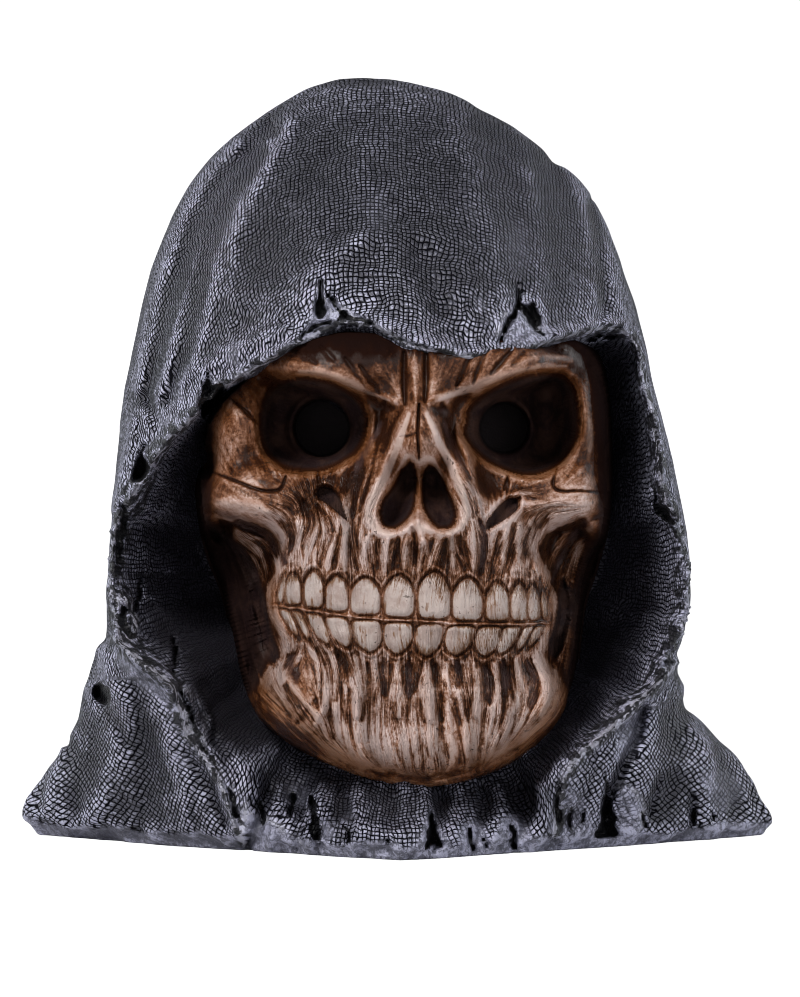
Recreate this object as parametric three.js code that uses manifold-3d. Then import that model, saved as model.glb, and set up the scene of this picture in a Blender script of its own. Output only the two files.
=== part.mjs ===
// Hooded skull bust: one resin casting. A skull looks out of a draped, tattered
// cowl whose cloth runs down into a flared shoulder cape with a flat underside.
// Millimetres, +Z up, the face looks along -Y, origin at the centre of the
// underside's bounding box.
import * as THREE from "three";
import { mergeVertices } from "three/addons/utils/BufferGeometryUtils.js";
import Module from "manifold-3d";

const wasm = await Module();
wasm.setup();

// ---------------------------------------------------------------- dimensions
const HEIGHT = 181; // underside to the crown of the cowl
const APEX_Y = 9; // the crown stands a little behind the middle
const ROUND = 52; // facets round the cowl
const YAW = (4.5 * Math.PI) / 180; // the skull is turned a little to its left
const SHIFT = [0.272, 2.492, 0]; // puts the origin at the middle of the underside

// The cowl's level sections: [height, left edge, right edge, front, back,
// line of the widest point, squareness of the front, squareness of the back].
const SECTIONS = [
  [0, -86.5, 88.5, -68, 62, 3, 1.06, 1.6],
  [3, -90, 90, -70, 65, 3, 1.08, 1.65],
  [7, -89.6, 88, -71, 66, 3, 1.12, 1.7],
  [12, -87.2, 84.5, -70, 66.5, 3, 1.22, 1.8],
  [19, -83.6, 80.6, -68, 67, 3, 1.42, 1.9],
  [26, -80, 75, -66.5, 67, 2, 1.7, 2.0],
  [33, -76.6, 70.6, -66, 67, 1, 2.05, 2.1],
  [41, -74, 68.4, -66, 67, 0, 2.5, 2.2],
  [48, -72.2, 70.6, -66.5, 66.5, -2, 2.9, 2.25],
  [58, -71.8, 72.2, -67, 66, -3, 3.1, 2.3],
  [68, -71.4, 72.6, -67.5, 66, -3, 3.1, 2.3],
  [78, -70.4, 71.4, -68, 66, -2, 3.0, 2.3],
  [90, -69, 67.6, -68, 65.5, -1, 2.75, 2.3],
  [102, -67.4, 64.2, -67.5, 64.5, 0, 2.5, 2.3],
  [112, -65.6, 61.6, -66.4, 63.2, 1, 2.4, 2.3],
  [120, -64, 59.8, -63.6, 61.6, 2, 2.3, 2.25],
  [129, -62.2, 57.6, -58.4, 59, 3, 2.25, 2.2],
  [138, -59.8, 54.6, -51.8, 55.6, 4, 2.2, 2.15],
  [146, -56.4, 51, -44.8, 51.6, 5, 2.15, 2.1],
  [154, -51.2, 46.4, -36.6, 46, 6, 2.1, 2.1],
  [161, -44.6, 39.4, -27.8, 39.6, 7, 2.05, 2.05],
  [167, -38, 31.2, -19, 33, 8, 2, 2],
  [172.5, -31, 22.4, -10, 26.2, 9, 2, 2],
  [177, -24, 14, -1.6, 19.4, 9, 2, 2],
  [180, -16, 4, 5, 13, 9, 2, 2],
  [HEIGHT, -8, -8, APEX_Y, APEX_Y, 9, 2, 2],
];

// Folds pressed into the cowl: [side angle in degrees, half-width in degrees,
// height of the middle, half-height, depth; negative stands proud].
const FOLDS = [
  [-62, 5, 128, 46, 2.4],
  [-74, 4, 118, 52, 1.7],
  [-52, 6, 116, 40, -1.8],
  [66, 6, 136, 38, -2.0],
  [80, 5, 118, 46, 1.8],
  [28, 9, 140, 26, 1.6],
  [-112, 8, 92, 70, 2.6],
  [-138, 7, 88, 74, 2.2],
  [-165, 8, 84, 78, 2.4],
  [170, 9, 80, 76, 2.6],
  [142, 8, 92, 70, 2.2],
  [114, 7, 88, 72, 2.6],
  [-96, 6, 22, 20, 3.2],
  [-128, 8, 20, 22, 3.6],
  [-158, 9, 18, 22, 3.2],
  [164, 9, 18, 22, 3.4],
  [132, 8, 20, 22, 3.6],
  [102, 6, 22, 20, 3.0],
  [58, 5, 20, 18, 2.6],
  [42, 5, 12, 16, 2.4],
  [-44, 7, 16, 16, -1.6],
];

// The face opening, seen from the front: its middle, and for every 22.5
// degrees from the right edge anticlockwise, the reach of the cloth's edge.
const OPENING = { x: 0, z: 64, floorY: -6, skullShare: 0.66 };
const REACH = [67.6, 69, 73.5, 62, 52, 57, 59, 63, 66.5, 67, 58.5, 52.5, 51.5, 53, 58.5, 65.5];
const CLOTH = 2.6; // how far the rolled edge of the cloth is set in

// The skull in its own frame, before it is turned: +x is its left, -y its
// front. Masses that flow into one another: [middle, half-sizes], and where
// "pair" is set the same mass stands on the other side too.
const MASSES = [
  { at: [0, 5, 92], half: [46, 61, 42] }, // cranium
  { at: [0, -40, 112.5], half: [38, 24, 7.5] }, // brow bar
  { at: [15, -53, 112], half: [15, 12.5, 7], pair: true }, // brow ridges
  { at: [0, -54, 106], half: [8.5, 10, 10] }, // between the brows
  { at: [39.5, -33, 98], half: [7, 17, 15], pair: true }, // outer rims of the sockets
  { at: [33, -42, 82], half: [13.5, 12.5, 8.2], pair: true }, // cheekbones
  { at: [42.5, -22, 82], half: [5.2, 25, 6], pair: true }, // cheek arches
  { at: [0, -56, 98], half: [6.4, 11, 11] }, // bridge of the nose
  { at: [0, -61, 93], half: [4.6, 9.5, 4.2] }, // tip of the nasal bones
  { at: [0, -36, 73], half: [31, 33, 14] }, // upper jaw
  { at: [9.6, -55, 81], half: [4.2, 12, 13], pair: true }, // sides of the nose
  { at: [0, -39, 63], half: [33.5, 31, 8.5] }, // upper gum
  { at: [0, -20, 56], half: [35, 34, 36] }, // body of the head behind the jaws
  { at: [0, -34, 37.5], half: [34.5, 34.5, 16.5] }, // lower jaw
  { at: [20, -40, 33], half: [16, 24, 11], pair: true }, // its lower edge
  { at: [0, -48, 27.5], half: [23, 20.5, 10.8] }, // chin
  { at: [36.5, -20, 54], half: [6, 14, 25], pair: true }, // branches of the jaw
];
const FLOW = 4.5; // how softly the masses run together
// Hollows taken out of them.
const HOLLOWS = [
  { at: [23.6, -66, 98], half: [13.4, 27, 12.4], pair: true }, // eye sockets
  { at: [18.4, -60, 79], half: [3, 8, 4.6], pair: true }, // below the sockets
  { at: [39.5, -42, 65], half: [8.5, 22, 10.5], pair: true }, // under the cheekbones
  { at: [51, -34, 108], half: [5.5, 16, 10], pair: true }, // temples
];
const EDGE = 1.6; // how softly the hollows' edges turn
// The face is shaped along lines from a plate inside the head to a wider one
// in front of it: half-width, lowest and highest edge, and y of each.
const FROM = { wide: 27, low: 50, high: 113, y: 50 };
const TO = { wide: 64, low: 9, high: 125, y: -60 };
const GRID = { columns: 40, rows: 42, middle: 0.62 }; // finer in the middle
const EYE_BORE = { x: 20.6, z: 97.2, radius: 6.6, from: -60, to: -22, lean: 0.16 };
const NOSE = { top: 90.5, low: 74.2, deep: 15, front: -84 };
// Teeth: widths from the middle outwards, and the arch they stand on.
const TOOTH_WIDTHS = [8.9, 7.5, 7.2, 6.2, 5.2, 4.2];
const ARCH = { half: 32.4, front: -67.2, back: -40, bite: 54.2, gum: 66, root: 44.8 };
// Tears in the cloth's edge: [middle, half-sizes, lean].
const TEARS = [
  { at: [-17.4, -62, 123], half: [2.2, 12, 9.5], lean: 0.12 },
  { at: [27, -60, 122], half: [1.6, 12, 9], lean: -0.05 },
  { at: [63.5, -44, 76], half: [5.5, 7, 4.2], lean: 0 },
  { at: [-64.5, -42, 74], half: [3, 8, 6.5], lean: 0 },
  { at: [-26, -50, 1], half: [1.3, 9, 7], lean: 0.2 },
  { at: [52, -33, 3], half: [1.6, 12, 8], lean: -0.1 },
];

// ------------------------------------------------------------------- helpers
const clamp = (v, a, b) => Math.min(b, Math.max(a, v));
const bump = (t) => (Math.abs(t) < 1 ? (1 - t * t) ** 2 : 0);
const wrap = (d) => ((((d + 180) % 360) + 360) % 360) - 180;

// Smooth interpolation of the section table at one height.
function section(z) {
  const rows = SECTIONS;
  let i = 0;
  while (i < rows.length - 2 && rows[i + 1][0] < z) i++;
  const [p, q] = [rows[i], rows[i + 1]];
  const t = clamp((z - p[0]) / (q[0] - p[0]), 0, 1);
  const before = rows[Math.max(0, i - 1)];
  const after = rows[Math.min(rows.length - 1, i + 2)];
  const h = q[0] - p[0];
  return p.map((v, k) => {
    if (k === 0) return z;
    const slope = (q[k] - v) / h;
    const m0 = i > 0 ? ((q[k] - before[k]) / (q[0] - before[0])) * h : slope * h;
    const m1 =
      i < rows.length - 2 ? ((after[k] - v) / (after[0] - p[0])) * h : slope * h;
    const t2 = t * t;
    const t3 = t2 * t;
    return (
      (2 * t3 - 3 * t2 + 1) * v +
      (t3 - 2 * t2 + t) * m0 +
      (3 * t2 - 2 * t3) * q[k] +
      (t3 - t2) * m1
    );
  });
}

// A point of the cowl: angle 0 faces the front, +90 degrees the right side.
function cowlPoint(angle, z) {
  const [, left, right, front, back, mid, nFront, nBack] = section(z);
  const cx = (left + right) / 2;
  const s = Math.sin(angle);
  const c = Math.cos(angle);
  const a = Math.max((right - left) / 2, 0.01);
  const depth = Math.max(c > 0 ? mid - front : back - mid, 0.01);
  const n = c > 0 ? nFront : nBack;
  let r = (Math.abs(s / a) ** n + Math.abs(c / depth) ** n) ** (-1 / n);
  const deg = (angle * 180) / Math.PI;
  for (const [at, half, zAt, zHalf, deep] of FOLDS)
    r -= deep * bump(wrap(deg - at) / (2 * half)) * bump((z - zAt) / zHalf) * clamp(r / 40, 0, 1);
  return [cx + r * s, mid - r * c, z];
}

function solid(geometry) {
  const g = new THREE.BufferGeometry();
  g.setAttribute("position", geometry.getAttribute("position").clone());
  if (geometry.index) g.setIndex(geometry.index.clone());
  const m = mergeVertices(g, 1e-4);
  const tris = [];
  const idx = m.index.array;
  for (let i = 0; i < idx.length; i += 3)
    if (idx[i] !== idx[i + 1] && idx[i + 1] !== idx[i + 2] && idx[i] !== idx[i + 2])
      tris.push(idx[i], idx[i + 1], idx[i + 2]);
  const made = new wasm.Manifold(
    new wasm.Mesh({
      numProp: 3,
      vertProperties: m.attributes.position.array,
      triVerts: new Uint32Array(tris),
    }),
  );
  if (made.volume() < 0) throw new Error("inside out");
  return made;
}

function shaped(geometry, move) {
  const p = geometry.getAttribute("position");
  for (let i = 0; i < p.count; i++) {
    const q = move(p.getX(i), p.getY(i), p.getZ(i));
    p.setXYZ(i, q[0], q[1], q[2]);
  }
  return geometry;
}

// A ball stretched to half-sizes, squared off by power, with a further move.
function lump(at, half, power = 2, wide = 20, tall = 14, move = (q) => q) {
  const g = new THREE.SphereGeometry(1, wide, tall);
  g.rotateX(Math.PI / 2);
  return shaped(g, (x, y, z) => {
    const r = (Math.abs(x) ** power + Math.abs(y) ** power + Math.abs(z) ** power) ** (-1 / power);
    return move([at[0] + half[0] * x * r, at[1] + half[1] * y * r, at[2] + half[2] * z * r]);
  });
}

// ---------------------------------------------------------------- the cowl
function cowlBody() {
  // Heights of the rings, closer together where the cape flares and at the top.
  const heights = [];
  for (const [to, count] of [[26, 6], [118, 8], [160, 6], [180, 5]]) {
    const from = heights.length ? heights[heights.length - 1] : 0;
    const start = heights.length ? 1 : 0;
    for (let i = start; i <= count; i++) heights.push(from + ((to - from) * i) / count);
  }
  const rings = heights.length;
  const g = new THREE.SphereGeometry(1, ROUND, rings + 1); // one row per ring and two poles
  g.rotateX(Math.PI / 2);
  const p = g.getAttribute("position");
  const across = ROUND + 1;
  for (let row = 0; row <= rings + 1; row++)
    for (let k = 0; k < across; k++) {
      const i = row * across + k;
      if (row === 0) p.setXYZ(i, -8, APEX_Y, HEIGHT);
      else if (row === rings + 1) p.setXYZ(i, 0, 0, 0);
      else {
        const u = (k % ROUND) / ROUND;
        const q = cowlPoint(u * 2 * Math.PI, heights[rings - row]);
        p.setXYZ(i, q[0], q[1], q[2]);
      }
    }
  return g;
}

function reach(angle) {
  const t = ((((angle / (2 * Math.PI)) % 1) + 1) % 1) * REACH.length;
  const i = Math.floor(t);
  const f = t - i;
  const at = (k) => REACH[(((i + k) % REACH.length) + REACH.length) % REACH.length];
  const [a, b, c, d] = [at(-1), at(0), at(1), at(2)];
  return b + 0.5 * f * (c - a + f * (2 * a - 5 * b + 4 * c - d + f * (3 * (b - c) + d - a)));
}

// The space inside the cowl's mouth: a bowl as wide as the cloth's edge at the
// front, which narrows to the skull's sides at its floor.
function mouthSpace() {
  const profile = [
    [0, OPENING.floorY], [0.5, OPENING.floorY], [OPENING.skullShare, OPENING.floorY - 1],
    [0.78, -13], [0.88, -24], [0.955, -40], [0.99, -56], [1.0, -74], [1.0, -92], [0, -92],
  ];
  const g = new THREE.LatheGeometry(profile.map(([s, y]) => new THREE.Vector2(s, -y)), 44);
  // the lathe turns about +Y: its height becomes -y, its radius the reach
  return shaped(g, (x, y, z) => {
    const s = Math.hypot(x, z);
    const angle = Math.atan2(-z, x);
    const r = s * (reach(angle) - CLOTH * 0.5);
    // the floor of the mouth lies lower in front, where the cloth passes under the chin
    const low = clamp(-Math.sin(angle), 0, 1) ** 2;
    const lift = low * 30 * bump((s - 0.85) / 0.5);
    return [OPENING.x + r * Math.cos(angle), -y - (y < 60 ? lift : 0), OPENING.z + r * Math.sin(angle)];
  });
}

// --------------------------------------------------------------- the skull
function ball(p, at, half, side) {
  const q = [(p[0] - side * at[0]) / half[0], (p[1] - at[1]) / half[1], (p[2] - at[2]) / half[2]];
  const k0 = Math.hypot(q[0], q[1], q[2]);
  const k1 = Math.hypot(q[0] / half[0], q[1] / half[1], q[2] / half[2]);
  return k1 < 1e-9 ? -Math.min(...half) : (k0 * (k0 - 1)) / k1;
}

function soft(a, b, k) {
  const h = Math.max(k - Math.abs(a - b), 0) / k;
  return Math.min(a, b) - (h * h * k) / 4;
}

// Below zero inside the skull.
function bone(p) {
  let d = 1e3;
  for (const { at, half, pair } of MASSES) {
    d = soft(d, ball(p, at, half, 1), FLOW);
    if (pair) d = soft(d, ball(p, at, half, -1), FLOW);
  }
  for (const { at, half } of HOLLOWS)
    for (const side of [1, -1]) d = -soft(-d, ball(p, at, half, side), EDGE);
  return d;
}

function skull() {
  // A block whose front is pushed out to the face along those lines.
  const block = new THREE.BoxGeometry(2, 2, 2, GRID.columns, GRID.rows, 1);
  const plate = ({ wide, low, high, y }, u, w) => [wide * u, y, (low + high) / 2 + ((high - low) / 2) * w];
  shaped(block, (x, w, front) => {
    const u = GRID.middle * x + (1 - GRID.middle) * x ** 3;
    const from = plate(FROM, u, w);
    if (front < 0) return from;
    const to = plate(TO, u, w);
    const on = (t) => from.map((v, k) => v + t * (to[k] - v));
    let t = 1.25;
    while (t > 0.1 && bone(on(t)) > 0) t -= 0.012;
    let [inside, outside] = [t, t + 0.012];
    for (let i = 0; i < 14; i++) {
      const mid = (inside + outside) / 2;
      if (bone(on(mid)) > 0) outside = mid;
      else inside = mid;
    }
    return on(inside);
  });
  let body = solid(block);
  for (const side of [-1, 1]) {
    const bore = new THREE.CylinderGeometry(EYE_BORE.radius, EYE_BORE.radius, EYE_BORE.to - EYE_BORE.from, 20);
    bore.rotateZ(side * EYE_BORE.lean);
    bore.translate(side * EYE_BORE.x, (EYE_BORE.from + EYE_BORE.to) / 2, EYE_BORE.z);
    body = body.subtract(solid(bore));
    // each half of the nose is a leaning drop
    const drop = new THREE.Shape();
    drop.moveTo(side * 2.0, NOSE.top);
    drop.quadraticCurveTo(side * 5.4, 85, side * 8.6, 77.6);
    drop.quadraticCurveTo(side * 8.6, NOSE.low, side * 5.4, NOSE.low);
    drop.quadraticCurveTo(side * 1.6, 75.4, side * 0.9, 80);
    drop.quadraticCurveTo(side * 0.9, 86, side * 2.0, NOSE.top);
    const hole = new THREE.ExtrudeGeometry(drop, { depth: 40, bevelEnabled: false, curveSegments: 4 });
    hole.rotateX(Math.PI / 2); // the drawing's height is now z, its depth -y
    hole.translate(0, NOSE.front + 40, 0);
    body = body.subtract(solid(hole));
  }
  // The teeth stand round the dental arch, the upper row a little in front.
  for (const side of [-1, 1]) {
    let along = 0;
    for (const w of TOOTH_WIDTHS) {
      const t = ((along + w / 2) / 39.5) * 1.32;
      along += w;
      const x = side * ARCH.half * Math.sin(t);
      const y = ARCH.back + (ARCH.front - ARCH.back) * Math.cos(t);
      const turn = side * Math.atan2(Math.sin(t) * (ARCH.back - ARCH.front), Math.cos(t) * ARCH.half);
      for (const [low, high, inset] of [[ARCH.bite + 0.3, ARCH.gum, 0], [ARCH.root, ARCH.bite - 0.4, 1.2]]) {
        const tooth = lump([0, 0, 0], [w * 0.5, 4.6, (high - low) / 2], 3, 8, 4);
        tooth.rotateZ(turn);
        tooth.translate(x * (1 - inset * 0.02), y + inset, (low + high) / 2);
        body = body.add(solid(tooth));
      }
    }
  }
  return body;
}

// -------------------------------------------------------------- put together
function joined() {
  const cowl = solid(cowlBody());
  const mouth = solid(mouthSpace());
  const head = skull().rotate([0, 0, (YAW * 180) / Math.PI]);
  let cloth = cowl.subtract(mouth);
  for (const { at, half, lean } of TEARS)
    cloth = cloth.subtract(
      solid(lump(at, half, 2, 10, 6, ([x, y, z]) => [x + lean * (z - at[2]), y, z])),
    );
  return cloth.add(head).translate(SHIFT);
}

const cast = joined();
const mesh = cast.getMesh();
const geometry = new THREE.BufferGeometry();
const xyz = new Float32Array(mesh.numVert * 3);
for (let i = 0; i < mesh.numVert; i++)
  for (let k = 0; k < 3; k++) xyz[3 * i + k] = mesh.vertProperties[i * mesh.numProp + k];
geometry.setAttribute("position", new THREE.BufferAttribute(xyz, 3));
geometry.setIndex(new THREE.BufferAttribute(mesh.triVerts, 1));
geometry.computeVertexNormals();

const resin = new THREE.MeshStandardMaterial({ color: 0x3c3c42, roughness: 0.62, metalness: 0 });
const bust = new THREE.Mesh(geometry, resin);
bust.name = "hooded_skull";

const figure = new THREE.Group();
figure.name = "grim_reaper_bust";
figure.add(bust);

export default figure;
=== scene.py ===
"""Looks of the hooded skull bust: the gauze cowl with its folds and tears, the
carved skull with its brown wash and painted shade, and the teeth, shaped as
meshes round the fixed frame. Lengths here are millimetres in the frame's axes
until a mesh is made; the camera's picture plane, 800 x 997 px, serves as the
drawing board on which folds, tears, grooves, paint and painted light and shade are laid out."""

import math

import bpy
import numpy as np
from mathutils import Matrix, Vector


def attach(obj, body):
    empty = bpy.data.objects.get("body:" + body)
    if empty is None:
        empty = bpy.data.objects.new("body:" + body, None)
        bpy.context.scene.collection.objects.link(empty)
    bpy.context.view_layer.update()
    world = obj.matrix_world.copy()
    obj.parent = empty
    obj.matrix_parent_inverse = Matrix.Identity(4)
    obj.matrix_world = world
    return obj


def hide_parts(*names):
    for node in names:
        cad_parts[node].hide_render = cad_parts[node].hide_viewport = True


F4 = np.float32
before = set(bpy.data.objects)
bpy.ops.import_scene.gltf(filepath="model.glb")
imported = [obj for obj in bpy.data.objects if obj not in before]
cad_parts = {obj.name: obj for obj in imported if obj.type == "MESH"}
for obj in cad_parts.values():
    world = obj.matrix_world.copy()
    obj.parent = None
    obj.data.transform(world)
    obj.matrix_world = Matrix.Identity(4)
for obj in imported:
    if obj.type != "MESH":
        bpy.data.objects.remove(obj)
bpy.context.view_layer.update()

SHIFT = (0.272, 2.492, 0.0)  # the drawing's own origin, seen from the frame's
CAM = (0.6, -1000.0, 81.0)
SCALE = 4.17  # px per mm in the plane y = 0
MID_PX = (400.0, 498.5)
W, H = 800, 900  # the drawing board


# ------------------------------------------------------------------ helpers
def smooth(a, b, x):
    t = np.clip((x - a) / (b - a), 0.0, 1.0)
    return t * t * (3.0 - 2.0 * t)


def to_px(x, y, z):
    k = SCALE * 1000.0 / (1000.0 + y)
    return MID_PX[0] + (x - CAM[0]) * k, MID_PX[1] - (z - CAM[2]) * k


def from_px(px, py, y):
    k = (1000.0 + y) / (SCALE * 1000.0)
    return CAM[0] + (px - MID_PX[0]) * k, CAM[2] - (py - MID_PX[1]) * k


def hash3(i, j, k, seed):
    h = (
        i.astype(np.uint32) * np.uint32(374761393)
        + j.astype(np.uint32) * np.uint32(668265263)
        + k.astype(np.uint32) * np.uint32(2147483647)
        + np.uint32((seed * 974711 + 1013) & 0xFFFFFFFF)
    )
    h = (h ^ (h >> np.uint32(13))) * np.uint32(1274126177)
    h = (h ^ (h >> np.uint32(16))) * np.uint32(2246822519)
    h = h ^ (h >> np.uint32(15))
    return (h & np.uint32(0xFFFFFF)).astype(F4) / F4(8388607.5) - F4(1.0)


def noise(x, y, z, seed=0):
    """Smooth noise in -1..1 with a period of about one unit."""
    xi, yi, zi = np.floor(x), np.floor(y), np.floor(z)
    fx, fy, fz = x - xi, y - yi, z - zi
    ux, uy, uz = (f * f * (3 - 2 * f) for f in (fx, fy, fz))
    xi, yi, zi = (v.astype(np.int64) for v in (xi, yi, zi))
    out = 0
    for a in (0, 1):
        wa = ux if a else 1 - ux
        for b in (0, 1):
            wb = uy if b else 1 - uy
            for c in (0, 1):
                wc = uz if c else 1 - uz
                out = out + wa * wb * wc * hash3(xi + a, yi + b, zi + c, seed)
    return out


def fbm(x, y, z, seed=0, octaves=3, gain=0.5):
    out, amp, tot = 0, 1.0, 0.0
    for o in range(octaves):
        f = 2.03**o
        out = out + amp * noise(x * f + 17.3 * o, y * f - 9.1 * o, z * f + 3.7 * o, seed + o)
        tot += amp
        amp *= gain
    return out / tot


def blur(f, r, passes=2):
    """Box blur along every axis, r cells each way."""
    for _ in range(passes):
        for ax in range(f.ndim):
            pad = [(0, 0)] * f.ndim
            pad[ax] = (r + 1, r)
            c = np.cumsum(np.pad(f, pad, mode="edge"), axis=ax, dtype=np.float64)
            n = f.shape[ax]
            hi = np.take(c, np.arange(2 * r + 1, 2 * r + 1 + n), axis=ax)
            lo = np.take(c, np.arange(0, n), axis=ax)
            f = ((hi - lo) / (2 * r + 1)).astype(F4)
    return f


def poly_dist(X, Y, pts):
    """Distance to a polyline, and how far along it the nearest point is, 0..1."""
    pts = np.asarray(pts, float)
    best = np.full(X.shape, 1e9)
    at = np.zeros(X.shape)
    seg = np.hypot(*(pts[1:] - pts[:-1]).T)
    total = seg.sum() or 1.0
    run = 0.0
    for (x0, y0), (x1, y1), s in zip(pts[:-1], pts[1:], seg):
        dx, dy = x1 - x0, y1 - y0
        t = np.clip(((X - x0) * dx + (Y - y0) * dy) / max(s * s, 1e-9), 0, 1)
        d = np.hypot(X - x0 - t * dx, Y - y0 - t * dy)
        near = d < best
        best = np.where(near, d, best)
        at = np.where(near, (run + t * s) / total, at)
        run += s
    return best, at


def curve(pts, n=6):
    """Catmull-Rom through the points."""
    p = np.asarray(pts, float)
    if len(p) < 3:
        return p
    q = np.vstack([2 * p[0] - p[1], p, 2 * p[-1] - p[-2]])
    out = []
    for i in range(1, len(q) - 2):
        a, b, c, d = q[i - 1], q[i], q[i + 1], q[i + 2]
        for k in range(n):
            t = k / n
            out.append(
                0.5 * (2 * b + (c - a) * t + (2 * a - 5 * b + 4 * c - d) * t**2
                       + (3 * (b - c) + d - a) * t**3)
            )
    out.append(p[-1])
    return np.array(out)


class Board:
    """A map over the picture plane, one value per pixel."""

    def __init__(self):
        self.m = np.zeros((H, W), F4)

    def window(self, pts, pad):
        p = np.asarray(pts)
        x0, y0 = np.maximum(np.floor(p.min(0) - pad), 0).astype(int)
        x1 = int(min(W, math.ceil(p[:, 0].max() + pad)))
        y1 = int(min(H, math.ceil(p[:, 1].max() + pad)))
        Y, X = np.mgrid[y0:y1, x0:x1]
        return slice(y0, y1), slice(x0, x1), X.astype(float), Y.astype(float)

    def stroke(self, pts, width, amount, taper=True, mode="add", sharp=2.0, smoothed=True):
        p = curve(pts) if smoothed else np.asarray(pts, float)
        ys, xs, X, Y = self.window(p, width * 3 + 2)
        d, t = poly_dist(X, Y, p)
        w = width * (0.35 + 0.65 * np.sin(np.pi * np.clip(t * 0.94 + 0.03, 0, 1)) ** 0.6 if taper else 1.0)
        v = amount * np.exp(-((d / w) ** sharp))
        if mode == "add":
            self.m[ys, xs] += v
        elif amount > 0:
            self.m[ys, xs] = np.maximum(self.m[ys, xs], v)
        else:
            self.m[ys, xs] = np.minimum(self.m[ys, xs], v)
        return self

    def area(self, pts, amount, edge=3.0, mode="max", smoothed=True):
        """Fills a closed outline; edge px is how softly it ends."""
        p = curve(list(pts) + [pts[0]]) if smoothed else np.asarray(list(pts) + [pts[0]], float)
        ys, xs, X, Y = self.window(p, edge * 2 + 2)
        d, _ = poly_dist(X, Y, p)
        inside = np.zeros(X.shape, bool)
        for (x0, y0), (x1, y1) in zip(p[:-1], p[1:]):
            if y0 == y1:
                continue
            hit = (Y > min(y0, y1)) & (Y <= max(y0, y1))
            inside ^= hit & (X < x0 + (Y - y0) * (x1 - x0) / (y1 - y0))
        s = np.where(inside, d, -d)
        v = amount * smooth(-edge, edge, s)
        if mode == "add":
            self.m[ys, xs] += v
        elif amount > 0:
            self.m[ys, xs] = np.maximum(self.m[ys, xs], v)
        else:
            self.m[ys, xs] = np.minimum(self.m[ys, xs], v)
        return self

    def at(self, px, py):
        x = np.clip(px, 0, W - 1.001)
        y = np.clip(py, 0, H - 1.001)
        i, j = x.astype(int), y.astype(int)
        fx, fy = (x - i).astype(F4), (y - j).astype(F4)
        m = self.m
        return (m[j, i] * (1 - fx) + m[j, i + 1] * fx) * (1 - fy) + (
            m[j + 1, i] * (1 - fx) + m[j + 1, i + 1] * fx) * fy


EDGES = [(0, 1), (2, 3), (4, 5), (6, 7), (0, 2), (1, 3), (4, 6), (5, 7), (0, 4), (1, 5), (2, 6), (3, 7)]
CORNERS = np.array([[a, b, c] for c in (0, 1) for b in (0, 1) for a in (0, 1)])


def surface_nets(F, origin, h):
    """Quads round the zero level of a grid that is negative inside."""
    ins = F < 0
    nx, ny, nz = F.shape
    cnt = np.zeros((nx - 1, ny - 1, nz - 1), np.uint8)
    for a, b, c in CORNERS:
        cnt += ins[a:nx - 1 + a, b:ny - 1 + b, c:nz - 1 + c]
    active = (cnt > 0) & (cnt < 8)
    I, J, K = np.nonzero(active)
    vals = np.stack([F[I + a, J + b, K + c] for a, b, c in CORNERS], 1).astype(np.float64)
    acc = np.zeros((len(I), 3))
    num = np.zeros(len(I))
    for a, b in EDGES:
        va, vb = vals[:, a], vals[:, b]
        cross = (va < 0) != (vb < 0)
        t = np.where(cross, va / np.where(va == vb, 1, va - vb), 0)
        p = CORNERS[a] + (CORNERS[b] - CORNERS[a]) * t[:, None]
        acc += p * cross[:, None]
        num += cross
    verts = np.asarray(origin) + h * (np.stack([I, J, K], 1) + acc / num[:, None])
    vid = np.full(active.shape, -1, np.int32)
    vid[active] = np.arange(len(I), dtype=np.int32)
    quads = []
    for ax in range(3):
        u, v = [(1, 2), (2, 0), (0, 1)][ax]
        lo = [slice(None)] * 3
        hi = [slice(None)] * 3
        lo[ax], hi[ax] = slice(0, -1), slice(1, None)
        change = ins[tuple(lo)] != ins[tuple(hi)]
        G = np.nonzero(change)
        g = [np.array(q) for q in G]
        ok = (g[u] >= 1) & (g[v] >= 1) & (g[u] < F.shape[u] - 1) & (g[v] < F.shape[v] - 1)
        g = [q[ok] for q in g]
        ring = []
        for du, dv in ((1, 1), (0, 1), (0, 0), (1, 0)):
            q = [q.copy() for q in g]
            q[u] -= du
            q[v] -= dv
            ring.append(vid[q[0], q[1], q[2]])
        ring = np.stack(ring, 1)
        first = ins[g[0], g[1], g[2]]
        ring[~first] = ring[~first][:, ::-1]
        quads.append(ring)
    return verts, np.vstack(quads)


def sample(F, origin, h, P):
    """Trilinear value of a grid at points."""
    q = (P - np.asarray(origin)) / h
    q = np.clip(q, 0, np.array(F.shape) - 1.001)
    i = q.astype(int)
    f = q - i
    out = 0
    for a, b, c in CORNERS:
        w = (f[:, 0] if a else 1 - f[:, 0]) * (f[:, 1] if b else 1 - f[:, 1]) * (f[:, 2] if c else 1 - f[:, 2])
        out = out + w * F[i[:, 0] + a, i[:, 1] + b, i[:, 2] + c]
    return out


def slope(F, origin, h, P, e=0.5):
    g = []
    for ax in range(3):
        d = np.zeros(3)
        d[ax] = e * h
        g.append((sample(F, origin, h, P + d) - sample(F, origin, h, P - d)) / (2 * e * h))
    return np.stack(g, 1)


def settle(F, origin, h, P, steps=2):
    """Draws the points onto the zero level."""
    for _ in range(steps):
        v = sample(F, origin, h, P)
        g = slope(F, origin, h, P)
        n2 = np.maximum((g * g).sum(1), 0.05)
        P = P - np.clip(v / n2, -0.5 * h, 0.5 * h)[:, None] * g
    return P


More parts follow.
